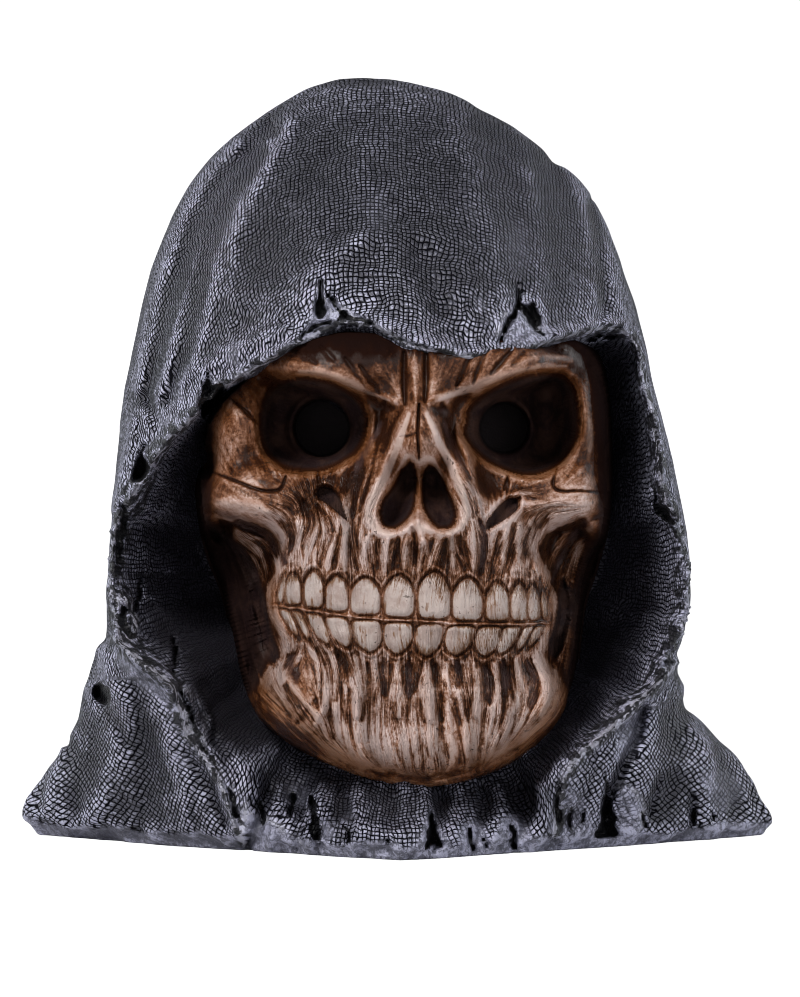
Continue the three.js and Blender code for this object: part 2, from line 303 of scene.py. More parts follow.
def piece(name, verts, faces, attrs, material, normals=None):
    """A mesh in metres in the frame, with one number per point for each name."""
    P = (np.asarray(verts) + np.asarray(SHIFT)) / 1000.0
    me = bpy.data.meshes.new(name)
    faces = np.asarray(faces, np.int32)
    n, k = faces.shape
    me.vertices.add(len(P))
    me.vertices.foreach_set("co", P.astype(F4).ravel())
    me.loops.add(n * k)
    me.loops.foreach_set("vertex_index", faces.ravel())
    me.polygons.add(n)
    me.polygons.foreach_set("loop_start", np.arange(0, n * k, k, dtype=np.int32))
    me.polygons.foreach_set("use_smooth", np.ones(n, bool))
    for key, values in attrs.items():
        at = me.attributes.new(key, "FLOAT", "POINT")
        at.data.foreach_set("value", np.asarray(values, F4))
    me.update(calc_edges=True)
    me.validate()
    if normals is not None:
        me.normals_split_custom_set_from_vertices(normals.astype(F4))
    me.materials.append(material)
    ob = bpy.data.objects.new(name, me)
    bpy.context.scene.collection.objects.link(ob)
    return ob


def cut_up(names, group, verts, faces, attrs, material):
    """One surface as several meshes that meet without a seam."""
    verts, faces = np.asarray(verts), np.asarray(faces)
    n = np.cross(verts[faces[:, 2]] - verts[faces[:, 0]], verts[faces[:, 3]] - verts[faces[:, 1]])
    total = np.zeros(verts.shape)
    for k in range(4):
        for ax in range(3):
            total[:, ax] += np.bincount(faces[:, k], n[:, ax], len(verts))
    total /= np.maximum(np.linalg.norm(total, axis=1, keepdims=True), 1e-12)
    out = []
    for g, name in enumerate(names):
        f = faces[group == g]
        used = np.unique(f)
        back = np.full(len(verts), -1)
        back[used] = np.arange(len(used))
        out.append(piece(name, verts[used], back[f], {k: np.asarray(v)[used] for k, v in attrs.items()}, material, total[used]))
    return out


# ------------------------------------------------------------- the cowl's form
# Outline seen from the front: height and side of the cloth, top to bottom.
LEFT = [(182.6, -8), (182.0, -14.2), (179.7, -22.6), (177.3, -27.2), (174.9, -31.0), (172.5, -34.2), (170.1, -37.0),
        (167.7, -39.6), (162.8, -44.2), (155.6, -50.0), (149.4, -53.8), (143.2, -56.9), (135.8, -59.6), (127.4, -61.3),
        (117.8, -63.0), (107, -65.0), (95, -66.3), (83, -67.0), (71, -68.0), (63.9, -68.5), (56.7, -68.7), (51.9, -68.6),
        (47.1, -69.3), (41.1, -71.6), (35.1, -74.2), (31.5, -75.0), (27.9, -76.0), (25.5, -77.6), (23.1, -78.9),
        (19.5, -81.6), (15.9, -84.6), (12.3, -87.2), (6.3, -90.2), (2.7, -89.8), (0, -86.5)]
RIGHT = [(182.6, -8), (182.0, -3.4), (179.7, 10.0), (177.3, 16.0), (174.9, 20.8), (172.5, 25.1), (170.1, 29.0),
         (167.7, 32.2), (165.2, 35.2), (162.2, 37.6), (157.2, 42.8), (152.8, 46.8), (145.4, 50.9), (137, 54.2),
         (128.6, 56.7), (120.2, 58.5), (109.4, 60.6), (97.4, 63.0), (85.4, 65.6), (73.4, 68.3), (66.3, 69.0),
         (56.7, 68.8), (47.1, 67.0), (42.3, 65.0), (39.9, 65.8), (37.5, 67.0), (35.1, 67.8), (32.7, 68.1), (30.3, 68.3),
         (27.9, 70.4), (25.5, 73.7), (23.1, 77.0), (20.7, 79.9), (18.3, 82.2), (15.9, 83.6), (11.1, 85.8), (6.3, 88.5),
         (3.4, 90.0), (0, 88.6)]
# Height, front, back, line of the widest point, squareness front and back.
DEPTHS = [(0, -68, 62, 3, 1.06, 1.6), (3, -70, 65, 3, 1.08, 1.65), (7, -71, 66, 3, 1.12, 1.7),
          (12, -70, 66.5, 3, 1.22, 1.8), (19, -68, 67, 3, 1.42, 1.9), (26, -66.5, 67, 2, 1.7, 2.0),
          (33, -66, 67, 1, 2.05, 2.1), (41, -66, 67, 0, 2.5, 2.2), (48, -66.5, 66.5, -2, 2.9, 2.25),
          (58, -67, 66, -3, 3.1, 2.3), (68, -67.5, 66, -3, 3.1, 2.3), (78, -68, 66, -2, 3.0, 2.3),
          (90, -68, 65.5, -1, 2.75, 2.3), (102, -67.5, 64.5, 0, 2.5, 2.3), (112, -66.4, 63.2, 1, 2.4, 2.3),
          (120, -63.6, 61.6, 2, 2.3, 2.25), (129, -58.4, 59, 3, 2.25, 2.2), (138, -51.8, 55.6, 4, 2.2, 2.15),
          (146, -44.8, 51.6, 5, 2.15, 2.1), (154, -37.2, 46.2, 6, 2.1, 2.1), (161, -29.6, 40.6, 7, 2.05, 2.05),
          (167, -22.4, 35, 7.5, 2, 2), (172.5, -15, 29.2, 8, 2, 2), (177, -7.6, 23, 8, 2, 2),
          (180.4, 0, 16.6, 8, 2, 2), (182.4, 8, 8, 8, 2, 2)]
TOP = 182.4
QGRID = np.linspace(0, math.sqrt(TOP + 3), 700)  # root of the depth below the crown


def column(rows, k, soft_by):
    z = np.array([r[0] for r in rows], float)
    v = np.array([r[k] for r in rows], float)
    q = np.sqrt(np.maximum(TOP - z, 0))
    o = np.argsort(q)
    line = np.interp(QGRID, q[o], v[o])
    n = int(soft_by / (QGRID[1] - QGRID[0]))
    ker = np.hanning(2 * n + 3)[1:-1]
    # mirrored about the crown with its sign turned, so that the end stays put
    pad = np.concatenate([2 * line[0] - line[1:n + 2][::-1], line, np.full(n + 1, line[-1])])
    return np.convolve(pad, ker / ker.sum(), "same")[n + 1:-(n + 1)][:len(QGRID)]


COLS = [column(LEFT, 1, 0.10), column(RIGHT, 1, 0.10)] + [column(DEPTHS, k, 0.35) for k in (1, 2, 3, 4, 5)]


def section(z):
    q = np.sqrt(np.maximum(TOP - z, 0))
    return [np.interp(q, QGRID, c) for c in COLS]


def cowl_outer(x, y, z):
    """Roughly the distance outside the plain cowl."""
    l, r, fr, bk, mid, nf, nb = section(z)
    cx, a = (l + r) / 2, np.maximum((r - l) / 2, 0.05)
    dx, dy = x - cx, y - mid
    dep = np.where(dy < 0, np.maximum(mid - fr, 0.05), np.maximum(bk - mid, 0.05))
    n = np.where(dy < 0, nf, nb)
    rho2 = dx * dx + dy * dy + 1e-6
    g = (np.abs(dx / a) ** n + np.abs(dy / dep) ** n + 1e-9) ** (1 / n)
    R2 = rho2 / (g * g)
    over = np.maximum(z - TOP, 0)
    return (rho2 - R2) / (2 * np.maximum(np.sqrt(R2), 30)) + over


# The cloth's edge round the face, on the drawing board.
RIM = [(110, 600), (107, 580), (108, 556), (115, 530), (125, 508), (140, 480), (150, 460), (165, 443), (185, 424),
       (207, 401), (226, 386), (250, 370), (275, 355), (298, 341), (315, 333), (332, 326), (350, 322),
       (372, 323), (400, 339), (440, 351), (480, 356), (520, 351), (550, 340), (580, 332), (608, 327), (628, 333),
       (639, 348), (645, 380), (654, 415), (658, 440), (660, 476), (668, 502), (682, 528), (690, 560), (691, 600),
       (686, 625), (674, 660), (657, 681), (640, 699), (618, 720), (604, 735), (589, 746), (572, 760), (562, 776),
       (555, 800), (552, 846), (500, 856), (440, 857), (400, 859), (340, 855), (290, 851), (252, 846),
       (238, 832), (230, 806), (215, 772), (197, 752), (184, 727), (178, 702), (171, 682), (153, 668),
       (135, 654), (118, 632)]
# The skull's outline where the lining meets it.
NEAR = [(232, 395), (205, 430), (200, 470), (198, 500), (205, 540), (215, 570), (230, 600), (240, 640), (248, 672),
        (262, 700), (285, 728), (315, 752), (350, 772), (385, 784), (420, 788), (460, 783), (500, 768), (530, 748),
        (555, 716), (568, 680), (575, 640), (580, 600), (592, 570), (605, 520), (607, 470), (606, 420), (598, 385),
        (570, 372), (500, 385), (420, 390), (340, 385), (290, 378)]
HUB = (400.0, 575.0)


def polar(pts, soft_deg=0.0):
    p = curve(list(pts) + [pts[0]], 8)
    a = np.arctan2(-(p[:, 1] - HUB[1]), p[:, 0] - HUB[0])
    r = np.hypot(p[:, 0] - HUB[0], p[:, 1] - HUB[1])
    o = np.argsort(a)
    a, r = a[o], r[o]
    grid = np.linspace(-np.pi, np.pi, 1441)
    v = np.interp(grid, np.concatenate([a - 2 * np.pi, a, a + 2 * np.pi]), np.tile(r, 3))
    if soft_deg:
        n = int(soft_deg / 0.25)
        ker = np.hanning(2 * n + 3)[1:-1]
        v[:-1] = np.convolve(np.concatenate([v[-n - 1:-1], v[:-1], v[:n]]), ker / ker.sum(), "same")[n:-n]
        v[-1] = v[0]
    return grid, v


PHI, REACH = polar(RIM, 0.75)
_, NEARR = polar(NEAR, 1.5)
# a ragged edge
REACH = REACH + 2.0 * noise(PHI * 19, PHI * 0, PHI * 0 + 3.3, 5) + 1.7 * noise(PHI * 44, PHI * 0, PHI * 0 + 8.1, 6)
REACH[-1] = REACH[0]


def by_angle(knots, phi):
    """Periodic value from (degrees, value) knots."""
    d = np.array([k[0] for k in knots], float)
    v = np.array([k[1] for k in knots], float)
    o = np.argsort(d)
    d, v = d[o], v[o]
    return np.interp(np.degrees(phi), np.concatenate([d - 360, d, d + 360]), np.tile(v, 3))


# Where the lining ends behind, how far in, and how bowed, by direction.
DEEP = [(0, 40), (40, 38), (65, 26), (90, 20), (115, 26), (140, 38), (180, 40), (205, 38), (222, 28), (240, 13),
        (270, 12), (300, 12), (318, 22), (335, 36)]
GAP = [(60, 0), (75, 40), (90, 46), (105, 44), (125, 0)]  # kept open under the brow's edge
BIB = [(215, 0), (236, 1), (304, 1), (322, 0)]  # where the lining rolls out over the front


def first_hit(px, py):
    ys = np.arange(-76, 12, 0.5)
    X, Z = from_px(px[:, None], py[:, None], ys[None, :])
    f = cowl_outer(X, np.broadcast_to(ys, X.shape), Z)
    hit = (f < 0).argmax(1)
    none = ~(f < 0).any(1)
    hit[none] = f.argmin(1)[none]
    return ys[hit]


EDGE_Y = first_hit(HUB[0] + (REACH - 1) * np.cos(PHI), HUB[1] - (REACH - 1) * np.sin(PHI))
EDGE_Y = np.clip(EDGE_Y, -72, -34)
n = 14
EDGE_Y = np.convolve(np.concatenate([EDGE_Y[-n - 1:-1], EDGE_Y, EDGE_Y[1:n + 1]]), np.hanning(2 * n + 1) / n, "same")[n:-n]


def lining(px, py):
    """Depth of the lining behind a point of the drawing, and how far in it is."""
    dx, dy = px - HUB[0], -(py - HUB[1])
    phi = np.arctan2(dy, dx)
    r = np.hypot(dx, dy)
    reach = np.interp(phi, PHI, REACH)
    near = np.minimum(np.interp(phi, PHI, NEARR), reach - by_angle(GAP, phi))
    t = (reach - r) / np.maximum(reach - near, 8)
    y0 = np.interp(phi, PHI, EDGE_Y)
    deep = by_angle(DEEP, phi)
    bib = by_angle(BIB, phi)
    tc = np.clip(t, 0, 1)
    wall = deep * (1 - (1 - tc) ** 1.25)
    roll = deep * smooth(0.3, 1.05, tc) - 4 * (1 - smooth(0.25, 0.55, tc))
    yf = y0 + wall * (1 - bib) + roll * bib
    yf = yf + np.maximum(t - 1, 0) * 22 + np.minimum(t, 0) * 160
    return yf, t, phi, r


# Folds down the sides and back: angle, half-width, middle height, half-height, depth.
FOLDS = [(-112, 8, 92, 70, 2.6), (-138, 7, 88, 74, 2.4), (-165, 8, 84, 78, 2.6), (170, 9, 80, 76, 2.8),
         (142, 8, 92, 70, 2.4), (114, 7, 88, 72, 2.6), (-125, 5, 96, 60, -1.6), (-151, 5, 90, 70, -1.8),
         (178, 6, 84, 70, -1.6), (156, 5, 88, 66, -1.8), (128, 5, 92, 62, -1.6), (-96, 6, 22, 20, 2.6),
         (-128, 8, 20, 22, 3.6), (-158, 9, 18, 22, 3.4), (164, 9, 18, 22, 3.4), (132, 8, 20, 22, 3.6),
         (102, 6, 22, 20, 2.6), (-143, 6, 20, 22, -1.8), (148, 6, 20, 22, -1.8), (-112, 6, 20, 20, -1.6),
         (117, 6, 20, 20, -1.6), (180, 7, 18, 20, -1.8)]


def bump(t):
    return np.where(np.abs(t) < 1, (1 - np.minimum(t * t, 1)) ** 2, 0)


def back_folds(x, y, z):
    l, r, fr, bk, mid, nf, nb = section(z)
    ang = np.degrees(np.arctan2(x - (l + r) / 2, -(y - mid)))
    out = 0
    for n, (at, half, zc, zh, deep) in enumerate(FOLDS):
        sway = 5 * np.sin(z * (0.03 + 0.007 * (n % 4)) + 2.4 * n) + 2.5 * np.sin(z * (0.08 + 0.013 * (n % 3)) + 1.7 * n)
        d = (ang - at - sway + 180) % 360 - 180
        out = out - deep * bump(d / (2 * half)) * bump((z - zc) / zh)
    return out


# ------------------------------------------- folds and tears seen from the front
relief = Board()  # mm proud of the plain cowl
cuts = Board()  # the same for tears, which stay near the cloth's edge
torn = Board()  # holes and slits, 0..1
plain = Board()  # patches where the gauze is filled, 0..1

# crown, left: two long valleys with a sharp ridge between them
relief.stroke([(272, 126), (258, 142), (240, 162), (221, 184), (206, 212), (192, 242), (182, 268), (173, 296), (165, 326), (156, 362), (146, 398)], 15, -1.6)
relief.stroke([(262, 152), (244, 180), (228, 204), (216, 232), (206, 262), (197, 294), (188, 330), (180, 368), (168, 404)], 13, -1.3)
relief.stroke([(268, 140), (243, 168), (224, 192), (209, 224), (198, 252), (189, 284), (180, 318), (170, 356), (158, 394)], 10, 0.9)
relief.stroke([(292, 124), (268, 160), (246, 196), (232, 226), (222, 258), (214, 296), (204, 338), (192, 372)], 13, 0.9)
relief.stroke([(238, 146), (220, 164), (202, 188), (184, 222), (170, 258), (158, 300), (148, 346), (140, 388)], 14, 0.9)
relief.stroke([(330, 150), (296, 196), (272, 246), (256, 296), (240, 340)], 24, -0.8)
relief.stroke([(226, 250), (220, 300), (206, 350), (190, 384)], 9, -0.8)
# crown, right
relief.stroke([(563, 158), (578, 186), (592, 214), (606, 250), (616, 290), (626, 322)], 13, 0.7)
relief.stroke([(545, 170), (556, 206), (562, 250), (556, 296), (546, 330)], 22, -0.9)
relief.stroke([(480, 108), (494, 140), (508, 180), (518, 222), (520, 262), (519, 292)], 20, -0.7)
relief.stroke([(452, 120), (470, 170), (486, 222), (496, 272), (498, 318)], 15, 0.2)
relief.stroke([(523, 150), (538, 200), (541, 250), (533, 300)], 14, 0.2)
relief.stroke([(590, 200), (600, 250), (604, 300), (598, 326)], 7, -1.0)
relief.stroke([(360, 180), (372, 230), (388, 280), (420, 330)], 30, 0.45)
relief.stroke([(300, 300), (330, 262), (362, 238)], 16, 0.7)
relief.stroke([(420, 250), (436, 300), (462, 340)], 18, -0.9)
# left side below the brow
relief.stroke([(150, 400), (158, 430), (150, 452), (132, 480)], 7, -1.3)
relief.stroke([(180, 385), (196, 372), (222, 356), (250, 345), (286, 330)], 9, 0.9)
relief.stroke([(134, 420), (128, 450), (121, 480), (114, 510)], 6, 1.0)
# the rolled edge
relief.stroke([(150, 459), (185, 423), (226, 384), (275, 353), (300, 340)], 6, 0.9, taper=False)
relief.stroke([(345, 318), (380, 322), (405, 336), (440, 347), (480, 352), (520, 347), (556, 334)], 7, 1.2, taper=False)
relief.stroke([(560, 334), (606, 324), (630, 332), (640, 350), (645, 384), (655, 420), (659, 450), (657, 478)], 6, 1.1, taper=False)
# capes
relief.stroke([(118, 640), (140, 665), (168, 690), (180, 716), (192, 746), (212, 772), (226, 800), (236, 836)], 4.2, 2.2, taper=False)
relief.stroke([(100, 650), (112, 690), (118, 730), (108, 780), (92, 820)], 15, 1.3)
relief.stroke([(134, 690), (148, 730), (150, 780), (140, 826)], 13, -1.3)
relief.stroke([(168, 742), (182, 782), (186, 830)], 9, 1.0)
relief.stroke([(70, 745), (80, 780), (70, 820)], 12, -1.0)
relief.stroke([(676, 662), (650, 690), (618, 722), (596, 742), (574, 762), (562, 790), (558, 834)], 4.2, 2.0, taper=False)
relief.stroke([(644, 704), (636, 738), (618, 776), (606, 812)], 6, -2.4)
relief.stroke([(652, 700), (652, 740), (644, 776), (640, 812)], 12, 0.7)
relief.stroke([(664, 716), (672, 754), (666, 796)], 12, -0.7)
relief.stroke([(694, 716), (704, 748), (708, 784), (706, 826)], 16, 0.9)
relief.stroke([(716, 748), (728, 784), (728, 824)], 9, -0.6)
relief.stroke([(588, 752), (582, 790), (576, 828)], 6, -1.2)
# the bib: soft pleats from the jaw to the hem
for x0, x1, w, a in [(262, 248, 6, -1.3), (276, 268, 6, 1.2), (300, 297, 6, -1.3), (318, 308, 6, 1.3), (338, 318, 6, -1.1),
                     (356, 352, 10, 1.0), (392, 388, 11, -1.0), (424, 420, 8, 1.0), (440, 434, 7, -1.6), (460, 452, 8, 1.1),
                     (484, 474, 7, -1.3), (502, 492, 7, 1.2), (528, 514, 7, -1.4), (546, 534, 8, 1.2)]:
    relief.stroke([(x0 + (400 - x0) * 0.04, 786), (x0, 812), (x1, 848)], w, a * 1.45)


# flaps and lumps of torn cloth
for pts, up, edge in [([(182, 688), (192, 684), (204, 700), (213, 722), (208, 744), (197, 730), (187, 712)], 1.9, 2.5),
                      ([(113, 596), (124, 590), (134, 606), (138, 628), (129, 640), (118, 630)], 1.4, 2.5),
                      ([(150, 664), (162, 668), (172, 682), (168, 690), (156, 680)], 1.2, 2.5),
                      ([(205, 744), (216, 750), (228, 778), (236, 806), (226, 806), (214, 780)], 1.6, 3),
                      ([(618, 792), (625, 787), (634, 792), (640, 806), (648, 822), (641, 832), (634, 845), (626, 836), (627, 824), (621, 812)], 1.0, 3),
                      ([(570, 768), (584, 760), (590, 776), (580, 800), (568, 806)], 1.4, 3),
                      ([(572, 806), (584, 800), (590, 820), (584, 838), (572, 832)], 1.0, 4)]:
    relief.area(pts, up, edge, "add")
for pts, w, a in [([(172, 700), (184, 730), (196, 760), (212, 792), (226, 824)], 6, -1.5), ([(664, 690), (640, 716), (612, 742), (590, 760)], 5, -1.0),
                  ([(140, 672), (160, 690), (170, 706)], 5, -0.9), ([(194, 700), (206, 724), (222, 752), (240, 776)], 5, -1.4),
                  ([(98, 694), (112, 712), (124, 742)], 6, -1.2), ([(650, 816), (654, 796), (660, 776)], 3.4, -1.3),
                  ([(692, 824), (694, 808), (691, 792)], 3.2, -1.1), ([(608, 832), (606, 812), (612, 790)], 4, -2.0), ([(252, 800), (262, 820), (258, 840)], 5, -1.0),
                  ([(556, 800), (560, 826), (558, 846)], 4, -1.3), ([(346, 800), (352, 826), (349, 848)], 4, -1.2)]:
    relief.stroke(pts, w, a)


def frayed(px, py):
    """The same places moved a little, which frays every edge drawn there."""
    z = px * 0
    return (px + 2.2 * noise(px / 5.5, py / 7.0, z, 211) + 1.0 * noise(px / 2.7, py / 2.7, z, 212),
            py + 2.6 * noise(px / 6.0, py / 8.0, z, 213) + 1.0 * noise(px / 2.7, py / 2.7, z, 214))


def tear(pts, deep, edge=2.0, lip=0.9):
    """A hole through the cloth with a raised, frayed lip round it; the hole is painted near-black as the shade inside
    it.
    """
    p = curve(list(pts) + [pts[0]])
    cuts.stroke(p, 3.4, lip, taper=False, smoothed=False)
    cuts.area(pts, -deep, edge, "add")
    torn.area(pts, 1.0, edge)


def slit(pts, width, deep, lip=0.7):
    cuts.stroke(pts, width * 2.3, lip)
    cuts.stroke(pts, width, -deep - lip)
    torn.stroke(pts, width, 1.0, mode="max")


slit([(319, 280), (320, 294), (322, 308)], 2.0, 3.0)
slit([(328, 294), (333, 303), (340, 312)], 2.0, 3.2)
tear([(315, 308), (319, 303), (324, 306), (327, 313), (322, 319), (317, 316)], 4.4, 1.3)
tear([(338, 310), (344, 312), (349, 316), (343, 319)], 3.4, 1.2, 0.6)
slit([(300, 338), (310, 330), (320, 325), (331, 321)], 3.2, 2.6, 1.0)
slit([(338, 320), (350, 317), (362, 319), (372, 324)], 2.2, 2.0, 0.9)
relief.stroke([(304, 334), (320, 322), (340, 314), (358, 315), (374, 323)], 7, -0.9)
slit([(517, 284), (518, 296), (519, 308)], 2.2, 3.2)
slit([(518, 306), (513, 316), (507, 328), (501, 341)], 2.8, 4.2, 0.9)
slit([(521, 304), (527, 313), (533, 324), (543, 333)], 3.2, 4.4, 0.9)
tear([(527, 305), (533, 306), (538, 314), (541, 323), (536, 326), (531, 316)], 4.0, 1.2)
relief.stroke([(522, 312), (520, 324), (517, 338)], 5, 0.3)
slit([(586, 340), (600, 336), (616, 336)], 1.8, 1.5)
tear([(203, 388), (209, 377), (214, 386), (221, 380), (226, 388), (219, 398), (214, 408), (203, 416), (198, 404)], 4.2, 2.0)
slit([(207, 372), (208, 384)], 1.6, 2.5)
tear([(140, 452), (147, 462), (147, 476), (138, 484), (133, 476), (137, 464)], 3.6, 2.0)
slit([(143, 444), (142, 456)], 1.5, 2.2)
tear([(122, 508), (127, 512), (126, 528), (122, 546), (121, 560), (116, 564), (114, 552), (117, 534)], 1.8, 1.8, 0.7)
slit([(141, 580), (139, 596), (134, 612)], 2.0, 2.6)
tear([(122, 604), (127, 612), (128, 624), (134, 636), (131, 642), (124, 632), (118, 622), (120, 612)], 2.4, 1.3)
slit([(173, 638), (176, 656), (173, 676)], 2.2, 3.0)
slit([(179, 688), (184, 700), (189, 712), (192, 724)], 2.4, 2.8)
slit([(203, 746), (212, 758), (219, 772)], 2.4, 2.4, 0.5)
slit([(226, 786), (233, 802), (239, 818)], 2.6, 2.4, 0.5)
slit([(134, 650), (146, 662), (160, 672)], 1.6, 1.6, 0.4)
tear([(94, 686), (101, 682), (108, 688), (111, 698), (104, 705), (96, 699)], 1.9, 2.0, 0.4)
tear([(652, 498), (658, 503), (666, 508), (671, 517), (667, 523), (661, 516), (655, 511)], 1.6, 1.4, 0.8)
slit([(655, 486), (657, 500)], 1.8, 2.4)
slit([(293, 790), (293, 802), (291, 814)], 2.4, 3.4, 0.5)
tear([(308, 800), (313, 795), (318, 803), (315, 813), (321, 823), (319, 837), (313, 840), (310, 828), (312, 814)], 4.0, 1.1, 0.8)
tear([(431, 812), (435, 822), (438, 834), (443, 848), (434, 844), (424, 850), (426, 838), (428, 826)], 4.0, 1.3, 0.8)
slit([(470, 828), (469, 838), (473, 848)], 3.0, 3.8, 0.9)
slit([(484, 838), (487, 848)], 1.8, 2.6, 0.6)
slit([(509, 826), (514, 832), (513, 842), (518, 850)], 3.0, 4.0, 0.9)
slit([(506, 842), (512, 838)], 2.0, 2.4, 0.5)
tear([(606, 792), (610, 804), (614, 820), (619, 836), (609, 838), (596, 836), (600, 820), (603, 806)], 4.6, 1.3)
slit([(604, 774), (606, 786), (606, 796)], 1.8, 2.6, 0.5)
slit([(642, 812), (646, 826)], 2.4, 2.6)
slit([(692, 808), (694, 822)], 2.6, 3.0)
slit([(714, 814), (716, 824)], 1.8, 2.0)
slit([(585, 810), (580, 826)], 1.8, 2.0)
slit([(562, 786), (558, 804), (560, 826)], 2.2, 2.6)
slit([(572, 806), (569, 820), (573, 834)], 1.8, 2.2)
slit([(343, 824), (348, 836), (344, 848)], 1.8, 2.0)
slit([(384, 836), (390, 846)], 1.6, 1.6)
slit([(260, 800), (264, 814), (262, 826)], 2.0, 2.2)

plain.area([(512, 222), (526, 226), (530, 262), (516, 270), (506, 244)], 0.35, 9)
plain.area([(300, 342), (309, 322), (316, 304), (332, 300), (352, 312), (380, 326), (352, 326), (322, 334)], 0.9, 3)
plain.area([(500, 344), (505, 322), (515, 306), (530, 302), (543, 318), (552, 334), (528, 344)], 0.65, 3)
plain.area([(362, 200), (384, 196), (392, 222), (372, 232)], 0.25, 9)
plain.area([(234, 808), (250, 812), (268, 822), (292, 838), (300, 852), (244, 850)], 1.0, 3)
plain.area([(618, 794), (628, 786), (640, 800), (646, 826), (640, 846), (616, 844)], 0.6, 5)
plain.area([(322, 820), (331, 824), (334, 836), (322, 842)], 0.9, 3)
plain.area([(414, 850), (424, 824), (432, 808), (440, 826), (452, 852)], 0.9, 3)
plain.area([(458, 852), (462, 826), (482, 822), (486, 850)], 0.85, 4)
plain.area([(498, 850), (500, 820), (522, 818), (532, 848)], 0.85, 4)
plain.area([(548, 846), (552, 812), (566, 790), (584, 800), (594, 842)], 0.6, 5)
plain.area([(284, 786), (300, 784), (310, 792), (304, 806), (286, 800)], 0.7, 5)
plain.area([(118, 646), (150, 676), (176, 694), (186, 716), (178, 722), (160, 700), (136, 684), (116, 660)], 0.8, 5)
plain.area([(622, 700), (646, 700), (640, 740), (618, 760)], 0.7, 6)
plain.area([(700, 776), (724, 768), (744, 790), (720, 814)], 0.6, 6)


crest_paint_and_highlight = Board()  # dry-brushed edges, pale paint that also stands in for their highlights
for pts, w, a in [([(116, 640), (134, 656), (152, 670), (172, 686), (181, 704), (190, 728), (200, 752), (216, 776), (228, 804), (238, 832), (248, 848)], 2.4, 1.0),
                  ([(678, 662), (660, 682), (643, 700), (621, 722), (604, 738), (588, 750), (573, 764), (564, 782), (558, 806), (555, 836)], 2.0, 0.9),
                  ([(184, 690), (196, 700), (205, 722), (203, 742)], 3.0, 0.8), ([(196, 716), (186, 734), (200, 752)], 2.0, 0.8),
                  ([(114, 604), (122, 596), (131, 608), (136, 626), (128, 638)], 2.6, 0.9), ([(240, 812), (262, 818), (290, 834), (300, 846)], 3.0, 0.7),
                  ([(232, 790), (246, 806), (240, 838)], 2.4, 0.7), ([(620, 786), (634, 790), (642, 806), (640, 828)], 2.6, 0.6),
                  ([(204, 398), (210, 384), (222, 384)], 2.2, 0.8), ([(324, 300), (334, 312), (346, 310), (352, 318)], 1.8, 0.8),
                  ([(498, 334), (506, 314), (518, 308), (530, 318), (540, 330)], 1.8, 0.8), ([(312, 304), (316, 296), (318, 284)], 1.4, 0.7)]:
    crest_paint_and_highlight.stroke(pts, w, a, taper=False, mode="max")
lining_shade = Board()  # where painted shade leaves the lining nearly black
lining_shade.area([(150, 610), (228, 600), (250, 680), (280, 735), (250, 752), (216, 742), (196, 706), (178, 672), (156, 650)], 1.0, 12)
lining_shade.area([(584, 600), (640, 640), (610, 690), (566, 740), (540, 760), (560, 700)], 0.5, 14)
lining_shade.area([(300, 762), (420, 796), (500, 780), (540, 760), (500, 812), (420, 820), (330, 806)], 0.5, 10)
lining_shade.area([(262, 764), (284, 772), (300, 790), (284, 800), (266, 792)], 0.7, 8)
lining_shade.area([(326, 796), (352, 800), (358, 826), (344, 842), (334, 820)], 0.6, 8)
lining_shade.area([(396, 806), (418, 804), (420, 832), (402, 838)], 0.35, 8)
lining_shade.area([(516, 778), (548, 766), (556, 800), (536, 812), (520, 800)], 0.5, 8)


